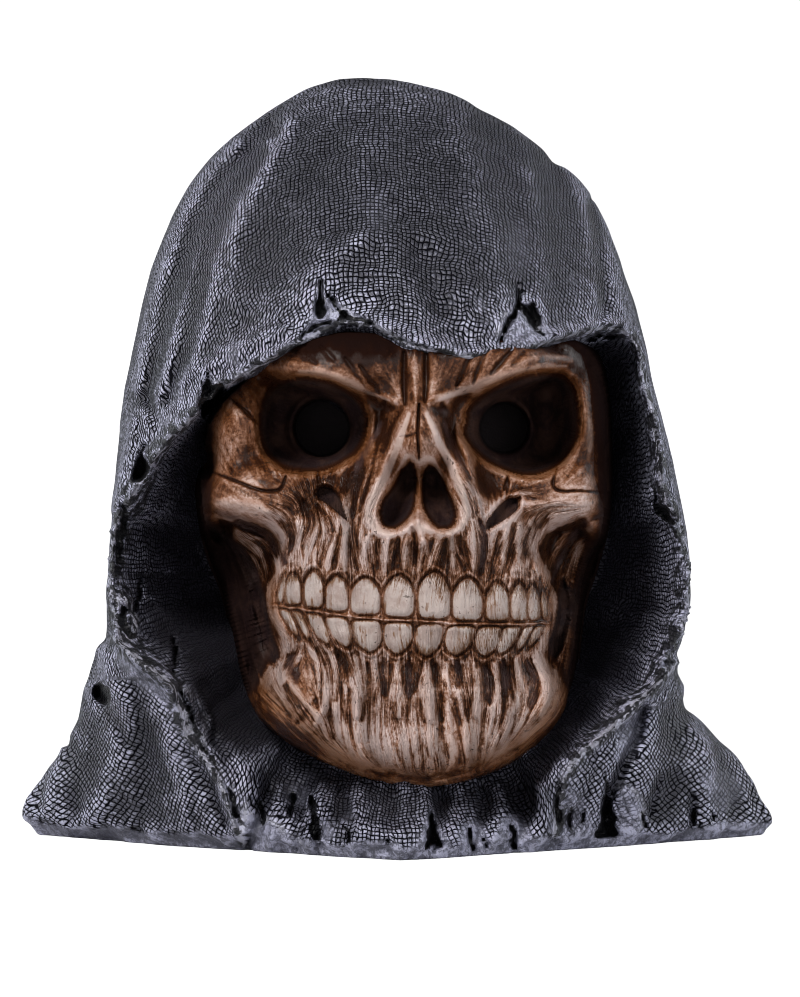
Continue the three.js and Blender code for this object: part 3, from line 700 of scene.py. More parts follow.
def build_cowl(h):
    org = np.array([-93.3, -75.0, -1.9])
    xs = (org[0] + h * np.arange(int(186.8 / h) + 1)).astype(F4)
    ys = (org[1] + h * np.arange(int(146.5 / h) + 1)).astype(F4)
    zs = (org[2] + h * np.arange(int(186.0 / h) + 1)).astype(F4)
    X, Y, Z = xs[:, None, None], ys[None, :, None], zs[None, None, :]
    F = cowl_outer(X, Y, Z).astype(F4)
    gx, gy, gz = np.gradient(F, h)
    F /= np.clip(np.sqrt(gx**2 + gy**2 + gz**2), 0.35, 3)
    del gx, gy, gz
    outer = F.copy()
    # detail only near the surface
    I, J, K = np.nonzero(np.abs(F) < 8.5)
    x, y, z = xs[I], ys[J], zs[K]
    px, py = to_px(x, y, z)
    front = smooth(16, 2, y)
    d = relief.at(px, py) * front
    d = d + back_folds(x, y, z) * smooth(-8, 12, y)
    d = d + cuts.at(*frayed(px, py)) * np.maximum(beside(px, py, y, 12, 26), smooth(52, 42, z) * smooth(4, -14, y))
    band = band_at(px, py, y) * front
    rag = noise(x / 4.6, y / 4.6, z / 4.6, 61)
    d = d + band * (1.2 * rag + 1.3 * (0.45 - 1.6 * np.abs(noise(x / 3.0, y / 3.0, z / 3.0, 62))) + 0.9 * noise(x / 1.5, y / 1.5, z / 1.5, 63))
    d = d + 1.1 * fbm(x / 26, y / 26, z / 34, 11, 2) + 0.35 * fbm(x / 7, y / 7, z / 9, 21, 2)
    ang = np.arctan2(x, -y)
    low = smooth(70, 30, z)
    fold = 1 - 2 * np.abs(noise((x + 0.35 * z) / 13, y / 13, (z - 0.5 * x) / 17, 51))
    d = d + (0.25 + 0.75 * low) * 0.55 * fold + low * 0.45 * (1 - 2 * np.abs(noise(x / 6.5, y / 6.5, z / 8, 52)))
    hem = 2.8 + 1.4 * noise(ang * 9, ang * 0, ang * 0, 31) + 1.0 * noise(ang * 31, ang * 0, ang * 0, 32)
    d = d + 1.2 * smooth(hem - 0.5, hem + 0.4, z) - 1.2
    F[I, J, K] -= d.astype(F4)
    # the mouth
    px, py = to_px(X, Y, Z)
    yf, t, _, _ = lining(px, py)
    C = (Y - yf).astype(F4)
    gx, gy, gz = np.gradient(C, h)
    C /= np.clip(np.sqrt(gx**2 + gy**2 + gz**2), 0.8, 30)
    del gx, gy, gz
    C = np.where(np.broadcast_to(Y, C.shape) > 4, 50, C)
    near = np.abs(C) < 7
    I, J, K = np.nonzero(near)
    x, y, z = xs[I], ys[J], zs[K]
    px, py = to_px(x, y, z)
    yf, t, phi, r = lining(px, py)
    inside = smooth(0.0, 0.15, t)
    d = (relief.at(px, py) + cuts.at(*frayed(px, py))) * inside
    # the lining is pleated round the rim and crumpled
    d = d + inside * (0.9 * noise(phi * 9, r / 60, r * 0, 41) + 0.6 * fbm(x / 9, y / 9, z / 9, 43, 2))
    C[I, J, K] += d.astype(F4)
    k = 1.3  # how round the rim is
    a, b = F, -C
    hh = np.maximum(k - np.abs(a - b), 0) / k
    G = np.maximum(a, b) + hh * hh * k / 4
    zfloor = np.broadcast_to(-Z, G.shape)
    G = np.maximum(G, zfloor).astype(F4)
    return G, outer, org, h


# how wide the frayed band along the edge is, px, by direction
FRAY = [(0, 14), (40, 10), (60, 5), (90, 4), (118, 6), (135, 10), (150, 15), (168, 21), (182, 23), (196, 18), (220, 8), (236, 5), (304, 5), (320, 10), (345, 15)]


def beside(px, py, y, lo, hi):
    """1 where a point lies no deeper behind the cloth's edge than lo to hi, mm."""
    phi = np.arctan2(-(py - HUB[1]), px - HUB[0])
    return smooth(hi, lo, y - np.interp(phi, PHI, EDGE_Y))


def band_at(px, py, y):
    """1 on the frayed band along the cloth's edge."""
    phi = np.arctan2(-(py - HUB[1]), px - HUB[0])
    r = np.hypot(px - HUB[0], py - HUB[1])
    wide = by_angle(FRAY, phi)
    d = r - np.interp(phi, PHI, REACH) + wide * 0.35
    bib = by_angle(BIB, phi)
    out = np.exp(-((d / wide) ** 2)) * (1 - bib) * beside(px, py, y, 5, 13)
    ridge_l = [(121, 643), (150, 668), (176, 692), (190, 724), (206, 756), (224, 790), (236, 820), (244, 840)]
    ridge_r = [(676, 662), (650, 690), (618, 722), (596, 742), (574, 762), (562, 790), (556, 834)]
    for line in (ridge_l, ridge_r):
        dd, _ = poly_dist(px, py, line)
        out = np.maximum(out, 0.85 * np.exp(-((dd / 6.5) ** 2)))
    return out


def weave_frame(outer, org, h):
    """Arc lengths over the cowl: round the front-to-back axis and along it."""
    al = np.linspace(-np.pi, np.pi, 241)
    yy = np.arange(-74, 70.1, 1.5)
    rr = np.arange(150, 2, -1.5)
    A, Yg = np.meshgrid(al, yy, indexing="ij")
    rho = np.zeros(A.shape)
    left = np.ones(A.shape, bool)
    for r in rr:
        P = np.stack([r * np.sin(A), Yg, np.maximum(64 + r * np.cos(A), 0)], -1).reshape(-1, 3)
        v = sample(outer, org, h, P).reshape(A.shape)
        out = (r * np.sin(A) < -92) | (r * np.sin(A) > 92) | (64 + r * np.cos(A) > 182.5)
        hit = (v < 0) & left & ~out
        rho[hit] = r
        left &= ~hit
    for k in range(len(yy)):  # an empty loop: nothing is held here
        pass
    rho = np.where(rho < 20, 20, rho)
    da = al[1] - al[0]
    mid = rho.copy()
    step_a = np.hypot((mid[1:] + mid[:-1]) / 2 * da, np.clip(np.diff(mid, axis=0), -6, 6))
    a = np.concatenate([np.zeros((1, len(yy))), np.cumsum(step_a, 0)], 0)
    a -= a[120:121]
    step_b = np.hypot(np.diff(yy)[None, :], np.clip(np.diff(mid, axis=1), -8, 8))
    b = np.concatenate([np.zeros((len(al), 1)), np.cumsum(step_b, 1)], 1)
    k0 = np.argmin(np.abs(yy - 4))
    b -= b[:, k0:k0 + 1]
    return al, yy, a, b


def grid_at(al, yy, T, alpha, y):
    i = np.clip((alpha - al[0]) / (al[1] - al[0]), 0, len(al) - 1.001)
    j = np.clip((y - yy[0]) / (yy[1] - yy[0]), 0, len(yy) - 1.001)
    i0, j0 = i.astype(int), j.astype(int)
    fi, fj = i - i0, j - j0
    return (T[i0, j0] * (1 - fi) + T[i0 + 1, j0] * fi) * (1 - fj) + (T[i0, j0 + 1] * (1 - fi) + T[i0 + 1, j0 + 1] * fi) * fj


def cowl_pieces(material, h=0.80):
    G, outer, org, h = build_cowl(h)
    V, Q = surface_nets(G, org, h)
    V = settle(G, org, h, V, 2)
    V[:, 2] = np.maximum(V[:, 2], 0)
    nrm = slope(G, org, h, V)
    nrm /= np.maximum(np.linalg.norm(nrm, axis=1, keepdims=True), 1e-6)
    round_ = sample(blur(np.clip(G, -6, 6), 2), org, h, V)
    wide = sample(blur(np.clip(G, -12, 12), 6), org, h, V)
    px, py = to_px(*V.T)
    yf, t, phi, r = lining(px, py)
    so = sample(outer, org, h, V)
    front = smooth(16, 2, V[:, 1]) * smooth(0.15, -0.1, nrm[:, 1])
    inner = (t > 0) & (V[:, 1] < 4) & (np.abs(V[:, 1] - yf) < np.abs(so) * 1.5 + 3) & (front > 0)
    inner |= (t > 0.02) & (V[:, 1] < 0) & (so < -3)
    inner |= (t > 0) & (by_angle(BIB, phi) > 0.3) & (front > 0.1)
    al, yy, A, B = weave_frame(outer, org, h)
    alpha = np.arctan2(V[:, 0], V[:, 2] - 64)
    a = grid_at(al, yy, A, alpha, V[:, 1])
    b = grid_at(al, yy, B, alpha, V[:, 1])
    # the capes are cut on the bias
    theta = np.arctan2(V[:, 0], -(V[:, 1] - 2))
    cape = V[:, 2] < 36 + 4 * np.sin(theta * 5)
    cu = theta * 60
    cv = V[:, 2] * 1.0 + 0.1 * np.abs(V[:, 0])
    ca, sa = math.cos(math.radians(42)), math.sin(math.radians(42))
    a = np.where(cape, cu * ca - cv * sa, a)
    b = np.where(cape, cu * sa + cv * ca, b)
    la = phi * 62
    lb = np.hypot((1 - r / np.interp(phi, PHI, REACH)) * 66, np.clip(V[:, 1] - np.interp(phi, PHI, EDGE_Y), 0, 60))
    a = np.where(inner, la, a)
    b = np.where(inner, lb, b)
    attrs = {
        "wu": a, "wv": b,
        "ridge": round_, "broad": wide,
        "torn": torn.at(*frayed(px, py)) * front * np.maximum(beside(px, py, V[:, 1], 12, 26), smooth(52, 42, V[:, 2]) * smooth(4, -14, V[:, 1])),
        "plain": np.maximum(plain.at(px, py) * front, smooth(3.9, 3.1, V[:, 2] + 1.1 * noise(alpha * 14, alpha * 0, alpha * 0, 3) + 0.7 * noise(alpha * 47, alpha * 0, alpha * 0, 4))),
        "inner": np.where(inner, smooth(0.0, 0.9, t), 0) * (1 - 0.75 * by_angle(BIB, phi)),
        "rim": band_at(px, py, V[:, 1]) * front,
        "lining_shade": lining_shade.at(px, py) * inner,
        "crest_paint_and_highlight": np.maximum(crest_paint_and_highlight.at(px, py), 0.8 * beside(px, py, V[:, 1], 5, 13) * np.exp(-(((r - np.interp(phi, PHI, REACH) + 1.0) / 1.8) ** 2)) * (1 - by_angle(BIB, phi))) * front,
    }
    mid = V[Q].mean(1)
    back = mid[:, 1] > np.quantile(mid[:, 1], 0.66)
    return cut_up(["cowl_left", "cowl_right", "cowl_back"], np.where(back, 2, np.where(mid[:, 0] > 0, 1, 0)), V, Q, attrs, material)


# ------------------------------------------------------------------ materials
class Nodes:
    """Short names for building a material's nodes."""

    def __init__(self, name):
        self.mat = bpy.data.materials.new(name)
        self.mat.use_nodes = True
        self.t = self.mat.node_tree
        self.n = self.t.nodes
        self.bsdf = self.n["Principled BSDF"]

    def link(self, a, b):
        self.t.links.new(a, b)

    def put(self, sock, v):
        if isinstance(v, bpy.types.NodeSocket):
            self.link(v, sock)
        elif isinstance(v, (tuple, list)) and len(v) == 3 and sock.type == "RGBA":
            sock.default_value = (*v, 1)
        else:
            sock.default_value = v

    def attr(self, name):
        a = self.n.new("ShaderNodeAttribute")
        a.attribute_name = name
        return a.outputs["Fac"]

    def math(self, op, a, b=None, c=None, clamp=False):
        m = self.n.new("ShaderNodeMath")
        m.operation = op
        m.use_clamp = clamp
        for s, v in zip(m.inputs, (a, b, c)):
            if v is not None:
                self.put(s, v)
        return m.outputs[0]

    def add(self, a, b): return self.math("ADD", a, b)
    def sub(self, a, b): return self.math("SUBTRACT", a, b)
    def mul(self, a, b): return self.math("MULTIPLY", a, b)

    def ramp(self, x, lo, hi, a=0.0, b=1.0):
        m = self.n.new("ShaderNodeMapRange")
        m.interpolation_type = "SMOOTHSTEP"
        for k, v in (("Value", x), ("From Min", lo), ("From Max", hi), ("To Min", a), ("To Max", b)):
            self.put(m.inputs[k], v)
        return m.outputs[0]

    def vec(self, x, y, z=0.0):
        c = self.n.new("ShaderNodeCombineXYZ")
        for s, v in zip(c.inputs, (x, y, z)):
            self.put(s, v)
        return c.outputs[0]

    def coords(self):
        g = self.n.new("ShaderNodeTexCoord")
        return g.outputs["Object"]

    def noise(self, vec, scale, detail=3.0, rough=0.55):
        t = self.n.new("ShaderNodeTexNoise")
        self.put(t.inputs["Vector"], vec)
        t.inputs["Scale"].default_value = scale
        t.inputs["Detail"].default_value = detail
        t.inputs["Roughness"].default_value = rough
        return t.outputs["Fac"]

    def mix(self, f, a, b):
        m = self.n.new("ShaderNodeMix")
        m.data_type = "RGBA"
        self.put(m.inputs[0], f)
        self.put(m.inputs[6], a)
        self.put(m.inputs[7], b)
        return m.outputs[2]

    def bump(self, height, strength, distance, normal=None):
        b = self.n.new("ShaderNodeBump")
        b.inputs["Strength"].default_value = strength
        b.inputs["Distance"].default_value = distance
        self.link(height, b.inputs["Height"])
        if normal is not None:
            self.link(normal, b.inputs["Normal"])
        return b.outputs[0]


def cloth_material():
    k = Nodes("painted_gauze")
    xyz = k.coords()
    u, v = k.attr("wu"), k.attr("wv")
    big = k.noise(xyz, 55.0, 2.0)
    big2 = k.noise(xyz, 61.0, 2.0, 0.5)
    small = k.noise(xyz, 420.0, 2.0)
    small2 = k.noise(xyz, 380.0, 2.0, 0.5)
    loose = k.add(1.0, k.mul(k.attr("inner"), 1.6))
    wob_u = k.mul(k.add(k.mul(k.sub(big, 0.5), 4.0), k.mul(k.sub(small, 0.5), 1.2)), loose)
    wob_v = k.mul(k.add(k.mul(k.sub(big2, 0.5), 4.0), k.mul(k.sub(small2, 0.5), 1.2)), loose)
    pitch = 1.06
    gu = k.mul(k.add(u, wob_u), math.pi / pitch)
    gv = k.mul(k.add(v, wob_v), math.pi / pitch)
    su = k.math("ABSOLUTE", k.math("SINE", gu))
    sv = k.math("ABSOLUTE", k.math("SINE", gv))
    cell = k.math("MINIMUM", su, sv)
    round_cell = k.math("POWER", k.mul(su, sv), 0.5)
    blot = k.noise(xyz, 150.0, 3.0, 0.6)
    filled = k.math("MAXIMUM", k.attr("plain"), k.ramp(blot, 0.60, 0.74, 0.0, 0.5))
    gap = k.mul(k.ramp(cell, 0.20, 0.46, 1.0, 0.0), k.sub(1.0, k.mul(filled, 0.92)))
    gap = k.mul(gap, k.sub(1.0, k.mul(k.math("MAXIMUM", k.attr("crest_paint_and_highlight"), k.attr("rim")), 0.8)))
    grit = k.noise(xyz, 900.0, 2.0, 0.6)
    ridge = k.ramp(k.attr("ridge"), 0.02, 0.42)
    broad = k.ramp(k.attr("broad"), -0.3, 1.1)
    rim = k.attr("rim")
    brush = k.noise(xyz, 90.0, 3.0, 0.6)
    flake = k.noise(xyz, 560.0, 5.0, 0.75)
    fleck = k.noise(xyz, 1150.0, 2.0, 0.6)
    dry = k.mul(k.ramp(brush, 0.32, 0.64, 0.15, 1.0), k.ramp(flake, 0.46, 0.56))
    # how much pale paint sits on the threads, partly standing in for their highlights
    crumb = k.noise(xyz, 380.0, 3.0, 0.62)
    shred = k.ramp(crumb, 0.52, 0.58)
    pale_and_highlight = k.add(k.add(0.01, k.mul(broad, 0.14)), k.mul(dry, k.add(0.17, k.mul(broad, 0.70))))
    pale_and_highlight = k.add(pale_and_highlight, k.mul(ridge, k.ramp(flake, 0.44, 0.56, 0.15, 1.0)))
    pale_and_highlight = k.add(pale_and_highlight, k.mul(k.ramp(fleck, 0.52, 0.62), k.add(0.14, k.mul(broad, 0.42))))
    pale_and_highlight = k.add(k.mul(pale_and_highlight, k.sub(1.0, k.mul(filled, 0.45))), k.mul(filled, k.add(0.07, k.mul(k.ramp(brush, 0.3, 0.7), 0.14))))
    # the frayed band gets pale crumbs: dry-brushed paint, partly standing in for their highlights
    pale_and_highlight = k.add(k.mul(pale_and_highlight, k.sub(1.0, k.mul(rim, 0.75))), k.mul(rim, k.mul(shred, 1.2)))
    bead = k.add(k.mul(k.ramp(round_cell, 0.55, 0.95, 0.35, 1.1), k.sub(1.0, filled)), k.mul(filled, 0.9))
    inner = k.attr("inner")
    # painted shade: the lining inside the hood gets little pale paint
    pale_and_highlight = k.mul(k.mul(pale_and_highlight, bead), k.sub(1.0, k.mul(inner, 0.8)))
    base = k.mix(k.ramp(k.noise(xyz, 38.0, 2.0), 0.35, 0.65), (0.017, 0.017, 0.026), (0.029, 0.029, 0.043))
    col = k.mix(k.math("MAXIMUM", pale_and_highlight, 0.0), base, (0.44, 0.445, 0.58))
    col = k.mix(gap, col, (0.003, 0.003, 0.005))
    # painted shade: near-black in the crevices between the crumbs of the frayed band
    col = k.mix(k.mul(k.ramp(rim, 0.1, 0.5), k.mul(k.ramp(crumb, 0.46, 0.52, 1.0, 0.0), 0.92)), col, (0.006, 0.006, 0.008))
    # pale on the crests: dry-brushed paint and a painted highlight
    edge = k.mul(k.attr("crest_paint_and_highlight"), k.ramp(crumb, 0.47, 0.53, 0.05, 1.0))
    col = k.mix(k.mul(edge, 0.85), col, (0.60, 0.60, 0.70))
    # painted shade: the lining inside the hood is darkened
    col = k.mix(k.mul(inner, 0.5), col, (0.028, 0.025, 0.034))
    # painted shade: the lining nearly black where it lies in shadow
    col = k.mix(k.mul(k.attr("lining_shade"), 0.85), col, (0.013, 0.012, 0.016))
    # painted shade: tears and slits painted near-black, as the shade inside them
    col = k.mix(k.ramp(k.add(k.attr("torn"), k.mul(k.sub(flake, 0.5), 1.1)), 0.38, 0.62), col, (0.004, 0.004, 0.006))
    k.link(col, k.bsdf.inputs["Base Color"])
    k.put(k.bsdf.inputs["Roughness"], k.add(k.ramp(grit, 0.3, 0.7, 0.38, 0.58), k.mul(gap, 0.3)))
    k.link(k.sub(0.5, k.math("MINIMUM", k.add(k.mul(gap, 0.45), k.mul(inner, 0.3)), 0.48)), k.bsdf.inputs["Specular IOR Level"])
    hgt = k.add(k.add(k.mul(k.sub(1.0, gap), 0.55), k.mul(k.mul(round_cell, 0.35), k.sub(1.0, filled))), k.mul(flake, 0.35))
    n1 = k.bump(hgt, 1.0, 0.0007)
    n2 = k.bump(k.mul(crumb, k.math("MAXIMUM", rim, k.mul(k.attr("crest_paint_and_highlight"), 0.6))), 1.0, 0.0016, n1)
    k.link(n2, k.bsdf.inputs["Normal"])
    return k.mat


# ------------------------------------------------------------------ the skull
YAW = math.radians(4.5)
# Masses that flow into one another: middle, half-sizes, and whether mirrored.
MASSES = [((0, 5, 92), (46, 61, 42), 0), ((0, -40, 112.5), (38, 24, 7.5), 0), ((15, -53, 112), (15, 12.5, 7), 1),
          ((0, -54, 106), (8.5, 10, 10), 0), ((39.5, -33, 98), (7, 17, 15), 1), ((33, -42, 82), (13.5, 12.5, 8.2), 1),
          ((42.5, -22, 82), (5.2, 25, 6), 1), ((0, -56, 98), (6.4, 11, 11), 0), ((0, -61, 93), (4.6, 9.5, 4.2), 0),
          ((0, -36, 73), (31, 33, 14), 0), ((9.6, -55, 81), (4.2, 12, 13), 1), ((0, -39, 63), (33.5, 31, 8.5), 0),
          ((0, -20, 56), (35, 34, 36), 0), ((0, -34, 37.5), (34.5, 34.5, 16.5), 0), ((20, -40, 33), (16, 24, 11), 1),
          ((0, -48, 27.5), (23, 20.5, 10.8), 0), ((36.5, -20, 54), (6, 14, 25), 1)]
HOLLOWS = [((39.5, -42, 65), (8.5, 22, 10.5)), ((51, -34, 108), (5.5, 16, 10))]


def bone(x, y, z):
    c, s = math.cos(YAW), math.sin(YAW)
    x, y = c * x + s * y, c * y - s * x

    def ball(at, half, side):
        q = ((x - side * at[0]) / half[0], (y - at[1]) / half[1], (z - at[2]) / half[2])
        k0 = np.sqrt(q[0] ** 2 + q[1] ** 2 + q[2] ** 2)
        k1 = np.sqrt((q[0] / half[0]) ** 2 + (q[1] / half[1]) ** 2 + (q[2] / half[2]) ** 2)
        return k0 * (k0 - 1) / np.maximum(k1, 1e-9)

    def soft(a, b, k):
        h = np.maximum(k - np.abs(a - b), 0) / k
        return np.minimum(a, b) - h * h * k / 4

    d = np.full(np.broadcast(x, y, z).shape, 1e3, F4)
    for at, half, pair in MASSES:
        for side in (1, -1)[: 1 + pair]:
            d = soft(d, ball(at, half, side), 4.5)
    for at, half in HOLLOWS:
        for side in (1, -1):
            d = -soft(-d, ball(at, half, side), 2.5)
    return d


SKULL = [(222, 402), (206, 430), (200, 465), (200, 500), (205, 535), (214, 565), (224, 590), (234, 630), (241, 668),
         (250, 698), (268, 722), (300, 746), (340, 767), (380, 781), (420, 786), (460, 781), (500, 766), (532, 745),
         (556, 716), (572, 680), (577, 640), (582, 604), (593, 570), (605, 524), (608, 475), (607, 425), (604, 388),
         (596, 358), (574, 340), (536, 334), (480, 340), (420, 334), (360, 322), (310, 330), (262, 364)]
SOCKETS = [
    [(257, 413), (262, 397), (276, 383), (299, 375), (331, 380), (356, 394), (368, 413), (367, 436), (356, 455),
     (333, 469), (311, 473), (283, 469), (264, 452), (257, 430)],
    [(464, 422), (467, 408), (481, 394), (506, 380), (533, 372), (561, 373), (575, 386), (581, 408), (581, 433),
     (572, 452), (556, 469), (533, 477), (511, 474), (486, 463), (469, 447), (462, 433)]]
BORES = [(322, 428, 28), (504, 428, 25)]
NOSE = [
    [(410, 460), (401, 469), (392, 485), (381, 500), (378, 514), (382, 526), (393, 530), (406, 523), (415, 510), (418, 488), (416, 466)],
    [(428, 463), (435, 466), (442, 475), (450, 491), (457, 509), (456, 522), (449, 529), (437, 529), (427, 518), (421, 502), (422, 474)]]
SMALL = [[(316, 491), (321, 486), (330, 487), (338, 494), (344, 506), (348, 521), (341, 518), (331, 508), (322, 502), (316, 497)],
         [(519, 498), (518, 510), (505, 521), (488, 530), (485, 524), (491, 513), (500, 503), (510, 497)]]
# which way the fibres of the bone run
STRANDS = [
    [(364, 469), (356, 497), (351, 524), (353, 552), (358, 572)], [(344, 524), (336, 547), (333, 566)],
    [(319, 508), (331, 530), (322, 552), (317, 572)], [(306, 502), (311, 524), (294, 547), (292, 569)],
    [(283, 524), (292, 541), (281, 566)], [(378, 541), (375, 569)], [(400, 541), (394, 566)],
    [(414, 536), (415, 574)], [(431, 544), (422, 572)], [(444, 541), (439, 560)], [(461, 541), (467, 566)],
    [(481, 524), (486, 549), (481, 572)], [(500, 536), (494, 558), (492, 580)], [(514, 524), (511, 547), (508, 569)],
    [(528, 530), (525, 552), (531, 574)], [(547, 522), (533, 541), (531, 566)],
    [(606, 519), (583, 524), (561, 552), (550, 580)], [(217, 511), (244, 522), (267, 536), (283, 560)],
    [(217, 536), (242, 552), (256, 580), (258, 619)], [(256, 602), (266, 630), (275, 657)],
    [(298, 657), (290, 668), (284, 682), (296, 712)], [(314, 652), (324, 680), (324, 706), (326, 740)],
    [(340, 655), (348, 690), (350, 730), (356, 762)], [(384, 660), (382, 700), (384, 740), (388, 772)],
    [(409, 660), (408, 700), (408, 740), (410, 776)], [(432, 660), (434, 700), (436, 740), (438, 776)],
    [(456, 662), (460, 700), (464, 740), (466, 770)], [(484, 660), (488, 700), (486, 735), (480, 768)],
    [(503, 660), (508, 696), (504, 726), (496, 752)], [(534, 663), (548, 686), (546, 704), (530, 730)],
    [(287, 679), (305, 702), (323, 724)], [(266, 690), (290, 718), (330, 748), (372, 772), (420, 780)],
    [(570, 682), (552, 712), (526, 742), (484, 770), (430, 780)],
    [(270, 366), (300, 368), (330, 372), (360, 384), (392, 396)], [(431, 396), (461, 388), (494, 376), (528, 360), (570, 356)],
    [(404, 345), (404, 372), (406, 400)], [(426, 345), (426, 372), (424, 400)], [(340, 340), (356, 360), (378, 388)],
    [(458, 383), (467, 361), (474, 344)], [(492, 372), (508, 355), (524, 342)],
    [(411, 405), (394, 433), (383, 469), (367, 508)], [(422, 405), (436, 433), (450, 461), (464, 497)],
    [(381, 422), (367, 447), (356, 469)], [(444, 422), (450, 441), (464, 469), (472, 486)],
    [(233, 402), (244, 424), (250, 452), (262, 476)], [(214, 440), (226, 470), (250, 490), (284, 500)],
    [(592, 380), (596, 420), (590, 460), (566, 486)], [(600, 500), (570, 502), (530, 500)],
    [(212, 500), (240, 510), (272, 524)], [(604, 440), (602, 480), (598, 520)],
    [(560, 600), (562, 630), (556, 656)], [(590, 560), (580, 600), (572, 640), (568, 676)]]
UPPER = [(274, 284, 573, 603), (283, 303, 573, 605), (302, 325, 570, 608), (324, 350, 575, 611), (349, 382, 577, 616),
         (382, 416, 575, 618), (416, 452, 571, 619), (451, 484, 577, 621), (484, 511, 582, 622), (509, 529, 582, 622),
         (527, 543, 584, 621), (541, 551, 589, 620)]
LOWER = [(276, 290, 298, 637), (289, 302, 310, 641), (302, 322, 328, 645), (322, 348, 347, 648), (348, 382, 370, 653),
         (382, 415, 397, 655), (415, 446, 426, 657), (446, 478, 455, 656), (477, 505, 484, 657), (502, 524, 500, 655),
         (523, 536, 517, 652), (534, 547, 528, 648)]
BITE = [(262, 604), (278, 606), (303, 609), (325, 613), (349, 616), (381, 619), (420, 621), (451, 623), (484, 624), (520, 624), (545, 623), (562, 621)]


class Sheet:
    """A drawn map whose nodes are the points of a mesh seen from the front."""

    def __init__(self, x0, y0, x1, y1, step):
        self.step = step
        self.px = np.arange(x0, x1, step)
        self.py = np.arange(y0, y1, step)
        self.X, self.Y = np.meshgrid(self.px, self.py)
        self.zero()

    def zero(self):
        return np.zeros(self.X.shape)

    def window(self, pts, pad):
        p = np.asarray(pts)
        lo, hi = p.min(0) - pad, p.max(0) + pad
        i0, i1 = np.searchsorted(self.px, [lo[0], hi[0]])
        j0, j1 = np.searchsorted(self.py, [lo[1], hi[1]])
        return (slice(j0, j1), slice(i0, i1))

    def stroke(self, m, pts, width, amount, taper=True, mode="add", sharp=2.0, smoothed=True):
        p = curve(pts) if smoothed else np.asarray(pts, float)
        w = self.window(p, width * 3 + 2)
        if m[w].size == 0:
            return
        d, t = poly_dist(self.X[w], self.Y[w], p)
        wd = width * (0.3 + 0.7 * np.sin(np.pi * np.clip(t * 0.94 + 0.03, 0, 1)) ** 0.6 if taper else 1.0)
        v = amount * np.exp(-((d / wd) ** sharp))
        m[w] = m[w] + v if mode == "add" else np.maximum(m[w], v)

    def inside(self, pts, reach=60.0):
        """Signed px inside a closed outline (positive), clipped at reach."""
        p = curve(list(pts) + [pts[0]])
        out = np.full(self.X.shape, -reach)
        w = self.window(p, reach)
        if out[w].size == 0:
            return out
        X, Y = self.X[w], self.Y[w]
        d, _ = poly_dist(X, Y, p)
        ins = np.zeros(X.shape, bool)
        for (x0, y0), (x1, y1) in zip(p[:-1], p[1:]):
            if y0 == y1:
                continue
            hit = (Y > min(y0, y1)) & (Y <= max(y0, y1))
            ins ^= hit & (X < x0 + (Y - y0) * (x1 - x0) / (y1 - y0))
        out[w] = np.clip(np.where(ins, d, -d), -reach, reach)
        return out

    def area(self, m, pts, amount, edge=3.0):
        s = self.inside(pts, edge * 2 + 3)
        m += amount * smooth(-edge, edge, s)

    def soften(self, m, px, passes=2):
        return blur(m.astype(F4), max(1, int(round(px / self.step))), passes).astype(float)


def base_depth():
    """Depth of the plain skull behind each third pixel."""
    gx, gy = np.arange(186, 628, 3.0), np.arange(312, 806, 3.0)
    PX, PY = np.meshgrid(gx, gy)
    first = np.full(PX.shape, np.nan)
    before = np.full(PX.shape, 50.0)
    for y in np.arange(-84, 0.1, 1.0):
        x, z = from_px(PX, PY, y)
        v = bone(x.astype(F4), F4(y), z.astype(F4))
        hit = (v < 0) & np.isnan(first)
        first[hit] = (y - 1.0 * (v / (v - before)))[hit]
        before = v
    known = ~np.isnan(first)
    fill = np.where(known, first, 0.0)
    wsum, vsum = known.astype(float), fill * known
    out = np.where(known, first, np.nan)
    for r in (2, 4, 8, 16, 32):  # carried outwards where the skull is missed
        bw = blur(wsum.astype(F4), r, 2)
        bv = blur(vsum.astype(F4), r, 2)
        miss = np.isnan(out) & (bw > 0.02)
        out[miss] = (bv / np.maximum(bw, 1e-6))[miss]
    out[np.isnan(out)] = -20
    return gx, gy, blur(out.astype(F4), 1, 1)


def bilinear(gx, gy, m, X, Y):
    i = np.clip((X - gx[0]) / (gx[1] - gx[0]), 0, len(gx) - 1.001)
    j = np.clip((Y - gy[0]) / (gy[1] - gy[0]), 0, len(gy) - 1.001)
    i0, j0 = i.astype(int), j.astype(int)
    fi, fj = i - i0, j - j0
    return (m[j0, i0] * (1 - fi) + m[j0, i0 + 1] * fi) * (1 - fj) + (m[j0 + 1, i0] * (1 - fi) + m[j0 + 1, i0 + 1] * fi) * fj


def flow_field():
    """Unit direction of the fibres, on a coarse sheet."""
    gx, gy = np.arange(186, 628, 4.0), np.arange(312, 806, 4.0)
    X, Y = np.meshgrid(gx, gy)
    c2, s2 = np.zeros(X.shape), np.zeros(X.shape)
    for st in STRANDS:
        p = curve(st, 4)
        mid, d = (p[1:] + p[:-1]) / 2, np.diff(p, axis=0)
        a = np.arctan2(d[:, 1], d[:, 0])
        for (mx, my), ang, ln in zip(mid, a, np.hypot(*d.T)):
            w = ln / (((X - mx) ** 2 + (Y - my) ** 2 + 60.0) ** 1.6)
            c2 += w * np.cos(2 * ang)
            s2 += w * np.sin(2 * ang)
    a = np.arctan2(s2, c2) / 2
    a = a + np.interp(Y, [420, 500, 570, 690, 720], [0.15, 0.5, 0.35, 0.3, 0.22]) * fbm(X / 20, Y / 28, X * 0, 79, 2)
    a = np.where(a < 0, a + np.pi, a)  # pointing down the sheet
    return gx, gy, np.cos(a), np.sin(a)


